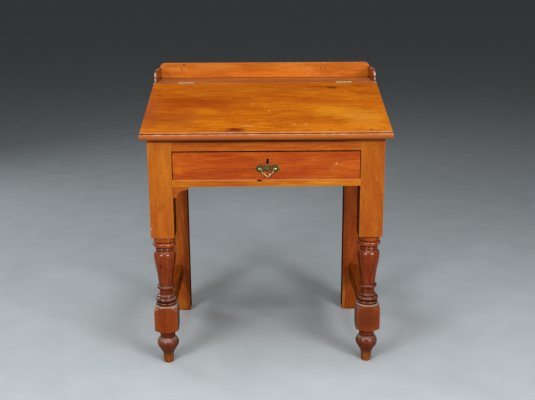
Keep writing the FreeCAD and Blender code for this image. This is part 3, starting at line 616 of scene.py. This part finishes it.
# %% Marks on the drawer and its rails
scratch_turn = math.radians(-63.1)
drawer_marks = (
    ((206, 128, 96), on_drawer(0.2442, 0.7785), (0.05, 0.01, 0.0016), 0.75, scratch_turn),
    ((232, 196, 150), on_drawer(0.253, 0.7896), (0.003, 0.01, 0.0045), 0.9),
    ((214, 108, 10), on_drawer(-0.318, 0.77), (0.03, 0.03, 0.026), 0.6),
    ((168, 62, 22), on_drawer(0.09, 0.76), (0.16, 0.03, 0.03), 0.45))
rail_low, rail_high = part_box("drawer_rail")
chip_place = -0.0248
chip_middle = rail_high.z - 0.0006
rail_smear = rail_high.z - 0.01
nose_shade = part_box("front_top_rail")[1].z - 0.016
rail_marks = (
    ((226, 176, 146), on_drawer(0.0, rail_high.z), (0.6, 0.012, 0.0026), 0.75),
    ((196, 120, 60), on_drawer(0.03, rail_smear), (0.05, 0.01, 0.006), 0.3))
# The rail's chip is painted near black: painted shade in the notch.
rail_chips = (((10, 4, 3), on_drawer(chip_place, chip_middle), (0.017, 0.03, 0.011), 1.0),)
# A painted shadow of the lid's nose along the top of the head rail.
head_chips = (((54, 22, 10), on_drawer(0.0, nose_shade), (0.9, 0.02, 0.017), 0.9),)
print("drawer:", len(drawer_marks), "marks, rails:", len(rail_marks + rail_chips + head_chips))

# %% Marks on the legs
dent_turn = math.radians(70)
smear_turn = math.radians(-40)
leg_marks = (
    # The first mark is the same painted shadow of the lid's nose, across the stiles.
    ((54, 22, 10), on_stile(0.0, nose_shade), (0.9, 0.02, 0.015), 0.9),
    ((100, 42, 12), on_stile(0.3835, 0.19), (0.09, 0.09, 0.08), 0.75),
    ((240, 210, 180), on_stile(-0.4235, 0.548), (0.002, 0.006, 0.006), 0.9),
    ((226, 160, 104), on_stile(0.4018, 0.73), (0.016, 0.006, 0.0014), 0.7, dent_turn),
    ((150, 70, 24), on_stile(-0.386, 0.63), (0.03, 0.03, 0.012), 0.4, smear_turn),
    ((46, 14, 12), on_stile(-0.396, 0.4), (0.006, 0.03, 0.013), 0.9))
post_marks = (
    ((154, 68, 38), (0.384, 0.29, 0.45), (0.12, 0.12, 0.42), 0.45),
    ((206, 128, 52), (0.346, 0.252, 0.08), (0.012, 0.02, 0.11), 0.7),
    ((206, 124, 44), (-0.384, 0.252, 0.03), (0.06, 0.03, 0.06), 0.4),
    # These two long dark marks along the posts' inner edges are painted shade.
    ((98, 42, 18), (-0.349, 0.256, 0.33), (0.02, 0.03, 0.6), 0.6),
    ((98, 42, 18), (0.349, 0.256, 0.4), (0.014, 0.03, 0.5), 0.3))
stretcher_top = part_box("left_stretcher")[1].z
post_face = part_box("rear_left_leg")[0].y
stretcher_x = 0.4
joint_chips = tuple(
    ((186, 164, 144), (side * stretcher_x, post_face, stretcher_top), (0.03, 0.009, 0.006), 0.85)
    for side in (-1, 1))
print("legs:", len(leg_marks), "marks on the front ones,", len(post_marks), "on the rear posts")

# %% Colours by height
square_zones = (
    (0.0, (146, 64, 16), 0.46), (0.23, (150, 66, 18), 0.46), (0.26, (182, 93, 20), 0.38),
    (0.92, (182, 93, 20), 0.36))
# The inward faces are darkened below the carcass: painted shade under the desk.
inward_shade_zones = (
    (0.0, (84, 42, 20), 0.8), (0.8, (84, 42, 20), 0.8), (0.86, (146, 70, 26), 0.6),
    (1.1, (146, 70, 26), 0.6))
turned_zones = (
    (0.0, (180, 124, 54), 0.55), (0.03, (146, 88, 38), 0.55), (0.048, (98, 44, 22), 0.4),
    (0.09, (128, 56, 28), 0.3), (0.118, (120, 54, 28), 0.34), (0.134, (140, 61, 18), 0.4),
    (0.222, (140, 63, 18), 0.45), (0.242, (112, 44, 16), 0.26), (0.3, (124, 51, 19), 0.22),
    (0.38, (136, 58, 20), 0.18), (0.46, (146, 63, 22), 0.17), (0.49, (168, 74, 23), 0.2),
    (0.92, (172, 74, 22), 0.2))
print("turning:", len(turned_zones), "colours by height")

# %% Finishes of the boards
skin = 0.0005
lid_front = min(vert.co.y for vert in nodes["lid"].data.vertices
                if (lid_ridge - vert.co).dot(Vector(lid_normal)) < skin)
lid_moulding = (tuple(lid_ridge), lid_normal, lid_front)
leg_offset = (0.0, 0.43, 0.3)
panel_colours = ((146, 66, 22), (172, 84, 28), (190, 104, 36))
finishes = {
    "lid_wood": wood("lid_shellac", "X", ((172, 72, 2), (200, 104, 8), (220, 132, 16)), marks=lid_marks,
                     chips=lid_chips, moulding=lid_moulding, wear=0.7, reach=0.012, shares=(0.55, 0.5, 0.5),
                     flame=0.11, bend=0.09, bruises=0.28),
    "top_wood": wood("strip_shellac", "X", ((156, 76, 32), (184, 98, 42), (204, 118, 58)), roughness=0.5,
                     chips=strip_chips),
    "gallery_wood": wood("gallery_shellac", "X", ((178, 86, 22), (200, 108, 30), (218, 130, 46)),
                         marks=gallery_marks, chips=gallery_chips, shine=0.1),
    "front_leg_wood": wood("stile_shellac", "Z", ((160, 72, 8), (182, 93, 20), (200, 113, 28)),
                           zones=square_zones, offset=leg_offset, marks=leg_marks, shares=(0.9, 0.45, 0.25),
                           blotch=0.08),
    "rear_leg_wood": wood("post_shellac", "Z", ((134, 56, 14), (160, 74, 26), (180, 96, 36)), roughness=0.7,
                          shine=0.0, marks=post_marks, blotch=0.1),
    "frame_wood": wood("panel_shellac", "Y", panel_colours, roughness=0.5),
    "rail_wood": wood("rail_shellac", "X", ((174, 82, 8), (196, 104, 14), (214, 128, 24)), wear=0.85,
                      marks=rail_marks, chips=rail_chips),
    "stretcher_wood": wood("stretcher_shellac", "Y", ((120, 49, 14), (146, 66, 20), (168, 87, 29)), shine=0.0,
                           roughness=0.8, chips=joint_chips),
    "drawer_front_wood": wood("drawer_shellac", "X", ((158, 58, 13), (182, 77, 20), (202, 98, 26)),
                              marks=drawer_marks, shine=0.1),
    "inner_wood": wood("raw_softwood", "X", ((142, 92, 54), (172, 120, 76), (192, 144, 98)), roughness=0.8,
                       shine=0.0, worn=(190, 150, 110), wear=0.25)}
print("finishes of slots:", ", ".join(finishes))

# %% Finishes of single pieces, and painted shade for hidden faces
gallery_end_shellac = wood("gallery_end_shellac", "Y", ((102, 42, 16), (134, 61, 26), (156, 80, 36)),
                           worn=(226, 204, 190), wear=0.95, bruises=0.6, shine=0.5, roughness=0.24,
                           chips=end_chips)
back_shellac = wood("back_shellac", "X", panel_colours, roughness=0.5)
bracket_shellac = wood("bracket_shellac", "X", ((150, 62, 14), (174, 80, 20), (194, 98, 28)))
head_rail_shellac = wood("head_rail_shellac", "X", ((164, 70, 14), (186, 90, 20), (206, 112, 32)),
                         chips=head_chips)
# The stretchers' inner faces take a darker copy of their wood: painted shade.
stretcher_inner_shade = wood("stretcher_inner_shade", "Y", ((92, 40, 15), (120, 56, 22), (142, 74, 31)), roughness=0.8,
                       shine=0.0)
# Near black painted shade for the drawer front's top face in its gap and the walls of its keyhole.
drawer_gap_shade = wood("drawer_gap_shade", "X", ((30, 14, 8), (46, 24, 14), (62, 34, 22)), roughness=0.85, shine=0.0)
inward_shade_colours = ((112, 46, 14), (146, 70, 26), (168, 92, 36))
inward_shade_shellac = wood("inward_shade_shellac", "Z", inward_shade_colours, shine=0.0, zones=inward_shade_zones)
print("single pieces: gallery ends, back, bracket and rail")

# %% [markdown]
# ## Metal
# The pull is cast brass, olive where it has tarnished and pale on the worn bail. The hinges are a
# dull pale metal, and the lock is dark iron. Tarnish stays on the flats and the touched edges are
# bright, so the edge mask that wears the wood serves here too.

# %% Metal finish
pit_depth = 0.0001


def metal(name, tarnish, bright, rubbing, roughness, grain=420.0, marks=(), rim=None):
    """A metal with tarnish in spots, brighter or of the rim's colour where its edges are rubbed."""
    surface = Surface(name)
    spots = surface.noise(grain, 5.0, 0.6)
    stains = surface.noise(grain / 6, 3.0)
    colour = surface.ramp(spots, [(0.3, paint(*tarnish)), (0.75, paint(*bright))])
    colour = marked(surface, colour, marks)
    rubbed = surface.times(edge_mask(surface), rubbing)
    colour = surface.blend(rubbed, colour, paint(*(rim or bright)))
    gloss = surface.spread(stains, 0.3, 0.7, roughness - 0.08, roughness + 0.12)
    gloss = surface.math("SUBTRACT", gloss, surface.times(rubbed, 0.12))
    normal = surface.bump(spots, pit_depth, 0.4)
    return surface.finish(Base_Color=colour, Roughness=gloss, Normal=normal, Metallic=1.0)


print("metal finish: pits", pit_depth * 1000, "mm deep")

# %% Metals of the pull, the hinges and the lock
plate_middle = middle_of("pull_backplate")
plate_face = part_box("pull_backplate")[0].y


def on_plate(across, height):
    return (plate_middle.x + across, plate_face, plate_middle.z + height)


lattice_turn = math.radians(48)
plate_marks = (
    ((150, 52, 24), on_plate(-0.0115, 0.001), (0.0065, 0.006, 0.0055), 0.9),
    ((150, 52, 24), on_plate(0.012, 0.001), (0.0065, 0.006, 0.0055), 0.9),
    ((196, 168, 120), on_plate(0.0, 0.0005), (0.012, 0.006, 0.0016), 0.9, lattice_turn),
    ((196, 168, 120), on_plate(0.0, 0.0005), (0.012, 0.006, 0.0016), 0.9, -lattice_turn),
    ((172, 150, 88), on_plate(0.0, 0.011), (0.006, 0.006, 0.004), 0.8))
bail_brass = metal("worn_brass", (186, 166, 98), (236, 220, 156), 0.8, 0.3)
post_brass = metal("polished_brass", (200, 176, 128), (250, 226, 196), 0.8, 0.22)
finishes["handle_brass"] = metal("tarnished_brass", (74, 66, 32), (136, 124, 72), 0.85, 0.48,
                                 marks=plate_marks, rim=(186, 172, 108))
finishes["hinge_metal"] = metal("hinge_metal", (150, 136, 108), (214, 200, 168), 0.8, 0.38)
finishes["lock_iron"] = metal("lock_iron", (30, 26, 24), (70, 62, 56), 0.7, 0.5)
print("metals: plate, bail, post, hinge and lock")

# %% [markdown]
# ## Boards with softened arrises
# A CAD board has knife edges, and real ones have been rubbed for a century. Each board is copied
# from the frame, its loose triangles are joined, and flat areas become single faces. The bevel
# then rolls the long outer edges. Modelling boxes anew would lose the mortises and hinge beds,
# so a copy is the better start here.

# %% Worn copies
join_distance = 0.00001
flat_angle = math.radians(0.6)
arris_angle = math.radians(40)
inward_share = 0.9


def merged_copy(node):
    shape = bmesh.new()
    shape.from_mesh(nodes[node].data)
    bmesh.ops.remove_doubles(shape, verts=shape.verts, dist=join_distance)
    bmesh.ops.dissolve_limit(shape, angle_limit=flat_angle, verts=shape.verts, edges=shape.edges)
    return shape


def arrises(shape, shortest, wanted=None):
    """The outer edges that are sharp, long enough and wanted."""
    sharp = [edge for edge in shape.edges
             if len(edge.link_faces) == 2 and edge.calc_face_angle_signed() > arris_angle]
    return [edge for edge in sharp if edge.calc_length() >= shortest and (wanted is None or wanted(edge))]


def roll(shape, edges, width, segments):
    bmesh.ops.bevel(shape, geom=edges, offset=width, offset_type="OFFSET", segments=segments, profile=0.5,
                    affect="EDGES", clamp_overlap=True, material=-1)


def soften(shape, width, shortest, wanted=None, segments=3):
    roll(shape, arrises(shape, shortest, wanted), width, segments)


def face_inward(shape, index):
    """Gives the faces that look at the other side of the desk another finish, darker as painted shade."""
    for face in shape.faces:
        if face.normal.x * face.calc_center_median().x < 0 and abs(face.normal.x) > inward_share:
            face.material_index = index


def piece(shape, name, node, *own):
    """Makes a bmesh the object that stands for a frame node, in its slot's finish or its own."""
    data = bpy.data.meshes.new(name)
    shape.to_mesh(data)
    shape.free()
    for material in own or (finishes[slot_of[node]],):
        data.materials.append(material)
    data.shade_smooth()
    data.set_sharp_from_angle(angle=arris_angle)
    made = bpy.data.objects.new(name, data)
    scene.collection.objects.link(made)
    even = made.modifiers.new("even_shading", "WEIGHTED_NORMAL")
    even.keep_sharp = True
    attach(made, body_of[node])
    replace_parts(made, node)
    print(name, len(data.polygons), "faces")


print("arrises: edges sharper than", round(math.degrees(arris_angle)), "degrees are rolled")

# %% Plain boards
long_edge = 0.03
any_edge = 0.0
keyhole_x = middle_of("lock_case").x
keyhole_reach = 0.012
keyhole_drop = 0.048


def shade_drawer_front_gaps(shape, index):
    """Gives the drawer front's top edge and the walls of its keyhole a near black painted shade, with dirt in
    the keyhole.
    """
    top = max(vert.co.z for vert in shape.verts)
    for face in shape.faces:
        middle = face.calc_center_median()
        upper = face.normal.z > inward_share and middle.z > top - keyhole_reach
        pierced = abs(face.normal.y) < 1 - inward_share and abs(middle.x - keyhole_x) < keyhole_reach
        if upper or pierced and middle.z > top - keyhole_drop:
            face.material_index = index


worn_boards = (
    (0.001, long_edge, (), ("lid", "top_board")),
    (0.0022, any_edge, (), ("gallery_back",)),
    (0.0026, any_edge, (gallery_end_shellac,), ("gallery_left_end", "gallery_right_end")),
    (0.0006, long_edge, (head_rail_shellac,), ("front_top_rail",)),
    (0.0008, any_edge, (bracket_shellac,), ("rail_bracket",)),
    (0.0007, long_edge, (finishes["drawer_front_wood"], drawer_gap_shade), ("drawer_front",)),
    (0.0016, long_edge, (finishes["stretcher_wood"], stretcher_inner_shade), ("left_stretcher", "right_stretcher")),
    (0.0008, long_edge, (), ("left_side_panel", "right_side_panel")),
    (0.0008, long_edge, (back_shellac,), ("back_panel",)),
    (0.0008, long_edge, (), ("drawer_left_side", "drawer_right_side", "drawer_back")))
for width, shortest, own, boards in worn_boards:
    for node in boards:
        board = merged_copy(node)
        soften(board, width, shortest)
        if slot_of[node] == "stretcher_wood":
            face_inward(board, 1)
        if node == "drawer_front":
            shade_drawer_front_gaps(board, 1)
        piece(board, "worn_" + node, node, *own)

# %% [markdown]
# ## Chipped rail and frayed posts
# The rail under the drawer has lost a splinter from its upper edge. A chip is a bevel on a short
# stretch of edge: two cuts across the rail leave that stretch, and one flat segment takes it off.
# The rear posts are frayed where they have been dragged, so their lower edges are cut into short
# stretches and a few of those points are pushed in and up.

# %% Chipped drawer rail
chip_length = 0.015
chip_depth = 0.0034
rail_arris = 0.0009
rail = merged_copy("drawer_rail")
soften(rail, rail_arris, long_edge)
for side in (-1, 1):
    cut = Vector((chip_place + side * chip_length / 2, 0.0, 0.0))
    whole = rail.verts[:] + rail.edges[:] + rail.faces[:]
    bmesh.ops.bisect_plane(rail, geom=whole, plane_co=cut, plane_no=(1.0, 0.0, 0.0))
splinter = []
for edge in rail.edges:
    middle = (edge.verts[0].co + edge.verts[1].co) / 2
    upper = middle.z > rail_high.z - rail_arris and middle.y < rail_low.y + rail_arris
    if upper and abs(middle.x - chip_place) < chip_length / 4:
        splinter.append(edge)
roll(rail, splinter, chip_depth, segments=1)
piece(rail, "chipped_drawer_rail", "drawer_rail")
print(len(splinter), "short edges chipped")

# %% Frayed rear posts
post_arris = 0.0016
fray_height = 0.01
fray_pitch = 0.006
fray_reach = post_arris * 1.5
fray_share = 0.55
fray_slant_share = 0.6
frays = random.Random(7)
for node in ("rear_left_leg", "rear_right_leg"):
    post = merged_copy(node)
    soften(post, post_arris, long_edge)
    low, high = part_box(node)
    cuts = [(Vector((0, 0, fray_height)), Vector((0, 0, 1)))]
    for axis in (0, 1):
        step = Vector((0, 0, 0))
        step[axis] = 1
        count = int((high[axis] - low[axis]) / fray_pitch)
        cuts += [(low + step * fray_pitch * index, step) for index in range(1, count + 1)]
    for place, normal in cuts:
        base = [face for face in post.faces if normal.z or face.calc_center_median().z < fray_height]
        edges = list({edge for face in base for edge in face.edges})
        verts = list({vert for face in base for vert in face.verts})
        bmesh.ops.bisect_plane(post, geom=verts + edges + base, plane_co=place, plane_no=normal)
    middle = middle_of(node)
    for vert in post.verts:
        gaps = [abs(vert.co[axis] - side[axis]) for axis in (0, 1) for side in (low, high)]
        if vert.co.z < fray_height / 2 and min(gaps) < fray_reach and frays.random() < fray_share:
            lift = frays.random() ** 2 * fray_height * fray_slant_share
            inward = Vector((middle.x - vert.co.x, middle.y - vert.co.y, 0)).normalized()
            vert.co += inward * lift + Vector((0, 0, lift))
    face_inward(post, 1)
    piece(post, "frayed_" + node, node, finishes["rear_leg_wood"], inward_shade_shellac)

# %% [markdown]
# ## Turned front legs
# A leg is turned from a square post, so one profile can be spun for its whole height. Where the
# wood stays square the profile swings out to the corners, and the spun surface is then pressed
# flat on four sides, which gives the curved shoulders of the block as the lathe does.

# %% Leg profile
leg_low, leg_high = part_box("front_right_leg")
half_leg = (leg_high.x - leg_low.x) / 2
corner_reach = half_leg * math.sqrt(2)
square_below_rail = 0.194
square_end = rail_low.z - square_below_rail
foot_height = 0.127
block_head = 0.239
turning_length = square_end - block_head
block_shoulder = 0.021
block_shoulder_swell = 0.005
block_foot_rise = 0.019
block_foot_swell = 0.003
row_gap = 0.0018
turning_shares = (
    (0.0, 0.935, 0.0), (0.07, 0.915, 0.01), (0.076, 0.855, 0.0), (0.085, 0.855, 0.0),
    (0.151, 0.855, 0.13), (0.156, 0.7, 0.0), (0.167, 0.7, 0.0), (0.169, 0.745, 0.0),
    (0.2, 0.745, 0.025), (0.204, 0.705, 0.0), (0.211, 0.72, 0.0), (0.297, 0.95, 0.07),
    (0.433, 0.83, 0.01), (0.579, 0.687, -0.007), (0.712, 0.62, -0.01), (0.717, 0.65, 0.0),
    (0.766, 0.65, 0.125), (0.771, 0.59, 0.0), (0.848, 0.59, -0.01), (0.863, 0.715, -0.02),
    (0.876, 0.725, 0.015), (0.881, 0.69, 0.0), (0.892, 0.8, 0.0), (0.941, 0.8, 0.125),
    (0.947, 0.735, 0.0), (0.956, 0.735, 0.0), (0.958, 0.85, 0.0), (0.991, 0.85, 0.045),
    (1.0, 0.85, 0.0))
foot_shares = (
    (0.0, 0.69, 0.0), (0.16, 0.655, -0.01), (0.185, 0.72, 0.0), (0.345, 0.95, 0.06),
    (0.48, 0.85, 0.025), (0.606, 0.625, 0.0), (0.69, 0.51, -0.012), (0.76, 0.46, -0.006),
    (0.97, 0.415, 0.0), (1.0, 0.385, 0.0))


def turned_points(shares, top, length):
    """Radius, height and swell of a turned stretch, in metres."""
    return [(half_leg * radius, top - length * drop, half_leg * swell) for drop, radius, swell in shares]


def leg_rows():
    """Radius, height and swell down the whole leg, the square parts at their corners."""
    rows = [(corner_reach, leg_high.z + block_shoulder, 0.0), (corner_reach, square_end, 0.0)]
    rows += turned_points(turning_shares, square_end, turning_length)
    rows += [(corner_reach, block_head - block_shoulder, block_shoulder_swell),
             (corner_reach, foot_height + block_foot_rise, 0.0),
             (half_leg * foot_shares[0][1], foot_height, block_foot_swell)]
    return rows + turned_points(foot_shares, foot_height, foot_height)[1:]


def arc_through(start, middle, end, count):
    """Points on the circle through three points, from the first to the last."""
    half = middle - start
    chord = end - start
    side = Vector((chord.y, -chord.x)) * half.length_squared
    side -= Vector((half.y, -half.x)) * chord.length_squared
    centre = start + side / (2 * half.cross(chord))
    spoke = start - centre
    sweep = spoke.angle_signed(middle - centre) + (middle - centre).angle_signed(end - centre)
    return [centre + Matrix.Rotation(-sweep * step / count, 2) @ spoke for step in range(1, count + 1)]


def leg_profile():
    """Radius and height of every point of the profile, top to bottom, with the swells rounded."""
    first, *rest = leg_rows()
    points = [Vector(first[:2])]
    for radius, height, swell in rest:
        here = Vector((radius, height))
        before = points[-1]
        count = max(4, round((here - before).length / row_gap))
        if swell:
            points += arc_through(before, (before + here) / 2 + Vector((swell, 0.0)), here, count)
        elif max(radius, before.x) > half_leg and min(radius, before.x) < half_leg:
            points += [before.lerp(here, step / count) for step in range(1, count + 1)]
        else:
            points.append(here)
    return points + [Vector((0.0, points[-1].y))]


print("leg profile:", len(leg_profile()), "points, half width", round(half_leg * 1000, 2), "mm")

# %% Finishes of the turning
# The dark rings in the grooves are dirt and painted shade; the first, right under the square, is dirt and the
# square's painted shadow.
groove_shares = (
    (0.0, 0.014), (0.071, 0.087), (0.15, 0.168), (0.199, 0.212), (0.709, 0.719), (0.766, 0.776),
    (0.878, 0.893), (0.941, 0.957))
groove_dirt_and_shade = (40, 12, 6)
dust_pale = (206, 184, 164)
grooves = tuple((square_end - turning_length * end, square_end - turning_length * start, groove_dirt_and_shade, 0.72)
                for start, end in groove_shares)
# Dark bands under the block and in the foot's neck are painted shade; the pale ones are dust.
neck_shade_brown = (62, 26, 16)
neck_shade_and_dust = (
    (foot_height - 0.004, foot_height + 0.001, neck_shade_brown, 0.75),
    (foot_height - 0.0205, foot_height - 0.017, neck_shade_brown, 0.75),
    (foot_height - 0.028, foot_height - 0.0225, dust_pale, 0.12),
    (block_head - 0.0022, block_head + 0.0002, dust_pale, 0.65))
turned_look = {
    "zones": turned_zones, "offset": leg_offset, "marks": leg_marks, "dust": 0.52, "wear": 0.3,
    "clean": 0.86, "reach": 0.006, "shares": (0.9, 0.7, 0.5), "bruises": 0.0, "blotch": 0.22,
    "rings": grooves + neck_shade_and_dust}
turned_colours = ((160, 68, 12), (188, 98, 30), (212, 126, 46))
turned_shellac = wood("turned_shellac", "Z", turned_colours, **turned_look, shine=0.5)
turned_dull = wood("turned_dull", "Z", turned_colours, **turned_look, shine=0.08)
# The legs' inward faces take the darker colours: painted shade.
leg_inner_shade_shellac = wood("leg_inner_shade_shellac", "Z", inward_shade_colours, shine=0.0, zones=inward_shade_zones,
                         rings=((foot_height, block_head, (132, 106, 90), 0.6),))
# The grooves hold dirt and painted shade.
print("grooves that hold dirt:", len(grooves))

# %% Spin and press the legs
leg_steps = 96
square_arris = 0.0013
square_share = 0.95
flat_share = 0.985
polished_rise = 0.1
leg_finishes = (finishes["front_leg_wood"], turned_shellac, leg_inner_shade_shellac, turned_dull)


def spun_leg(node):
    axis = middle_of(node)
    axis.z = 0.0
    shape = bmesh.new()
    chain = [shape.verts.new(axis + Vector((point.x, 0.0, point.y))) for point in leg_profile()]
    for here, there in zip(chain, chain[1:]):
        shape.edges.new((here, there))
    bmesh.ops.spin(shape, geom=shape.verts[:] + shape.edges[:], cent=axis, axis=(0.0, 0.0, 1.0),
                   angle=math.tau, steps=leg_steps, use_merge=True)
    bmesh.ops.remove_doubles(shape, verts=shape.verts, dist=join_distance)
    for vert in shape.verts:
        vert.co.x = min(max(vert.co.x, axis.x - half_leg), axis.x + half_leg)
        vert.co.y = min(max(vert.co.y, axis.y - half_leg), axis.y + half_leg)
    whole = shape.verts[:] + shape.edges[:] + shape.faces[:]
    bmesh.ops.bisect_plane(shape, geom=whole, plane_co=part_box(node)[1], clear_outer=True,
                           plane_no=(0.0, -math.sin(lid_slope), math.cos(lid_slope)))
    bmesh.ops.holes_fill(shape, edges=[edge for edge in shape.edges if edge.is_boundary])
    bmesh.ops.recalc_face_normals(shape, faces=shape.faces)

    def on_square(edge):
        return all(max(abs(vert.co.x - axis.x), abs(vert.co.y - axis.y)) > half_leg * square_share
                   for vert in edge.verts)

    soften(shape, square_arris, any_edge, on_square, segments=2)
    for face in shape.faces:
        middle = face.calc_center_median() - axis
        if max(abs(middle.x), abs(middle.y)) < half_leg * flat_share and middle.z < square_end:
            face.material_index = 1 if face.normal.z > polished_rise else 3
    face_inward(shape, 2)
    return shape


for node in ("front_left_leg", "front_right_leg"):
    piece(spun_leg(node), "turned_" + node, node, *leg_finishes)

# %% [markdown]
# ## Drop handle
# The plate is thin cast brass. Its edges are rolled like those of the boards, and the wear mask
# then draws the pale rim that fingers keep bright. It is cut into triangles at once, because a
# flat face round several holes is easily split wrongly later. The bail is a bent rod, thicker in
# the middle where a finger pulls, which a curve with a round section gives at once. It becomes a
# mesh before it is placed, so that it exports like the rest.

# %% Plate with rolled edges
plate_arris = 0.001
plate = merged_copy("pull_backplate")
soften(plate, plate_arris, any_edge, segments=2)
bmesh.ops.triangulate(plate, faces=plate.faces)
piece(plate, "rolled_pull_plate", "pull_backplate")

# %% Line of the bail
bail_low, bail_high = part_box("pull_bail")
bail_middle, bail_depth = middle_of("pull_bail").xy
bail_radius = 0.0024
pivot_height = bail_high.z - bail_radius
bail_drop = pivot_height - bail_low.z - bail_radius
bail_start = 0.0207
pivot_reach = (bail_high.x - bail_low.x) / 2
bail_shares = (
    (pivot_reach / bail_start, 0.0, 0.7), (1.0, 0.0, 0.8), (1.03, 0.12, 1.0), (1.0, 0.32, 0.95),
    (0.9, 0.52, 0.9), (0.74, 0.6, 0.95), (0.54, 0.64, 1.0), (0.42, 0.76, 1.0), (0.3, 0.92, 1.0),
    (0.14, 1.0, 1.05), (0.0, 1.0, 1.1))
right = [(bail_middle + across * bail_start, pivot_height - down * bail_drop, width)
         for across, down, width in bail_shares]
left = [(2 * bail_middle - x, z, width) for x, z, width in right[:-1]]
stations = left + right[::-1]
print("bail hangs", round(bail_drop * 1000, 1), "mm")

# %% Bent bail
bail_line = bpy.data.curves.new("bail_line", "CURVE")
bail_line.dimensions = "3D"
bail_line.bevel_depth = bail_radius
bail_line.bevel_resolution = 5
bail_line.resolution_u = 6
bail_line.use_fill_caps = True
spline = bail_line.splines.new("NURBS")
spline.points.add(len(stations) - 1)
for point, (x, z, width) in zip(spline.points, stations):
    point.co = (x, bail_depth, z, 1.0)
    point.radius = width
spline.order_u = 3
spline.use_endpoint_u = True
bent = bpy.data.objects.new("bail_line", bail_line)
bail = bmesh.new()
bail_mesh = bpy.data.meshes.new_from_object(bent)
bail.from_mesh(bail_mesh)
bpy.data.objects.remove(bent)
bpy.data.curves.remove(bail_line)
bpy.data.meshes.remove(bail_mesh)
bmesh.ops.remove_doubles(bail, verts=bail.verts, dist=join_distance)
bmesh.ops.recalc_face_normals(bail, faces=bail.faces)
piece(bail, "bent_pull_bail", "pull_bail", bail_brass)

# %% [markdown]
# ## What stays as the frame has it
# Screws, pins, runners and the inside of the box already have the right shape. They only need
# their finishes, assigned to the slot that came with each object.

# %% Finishes on the frame's own pieces
replaced = {name for made in bpy.data.objects for name in made.get("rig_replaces", [])}
for node, made in nodes.items():
    if node in replaced:
        continue
    material = post_brass if node == "pull_posts" else finishes[slot_of[node]]
    made.material_slots[0].material = material
print("kept from the frame:", len(nodes) - len(replaced), "pieces")
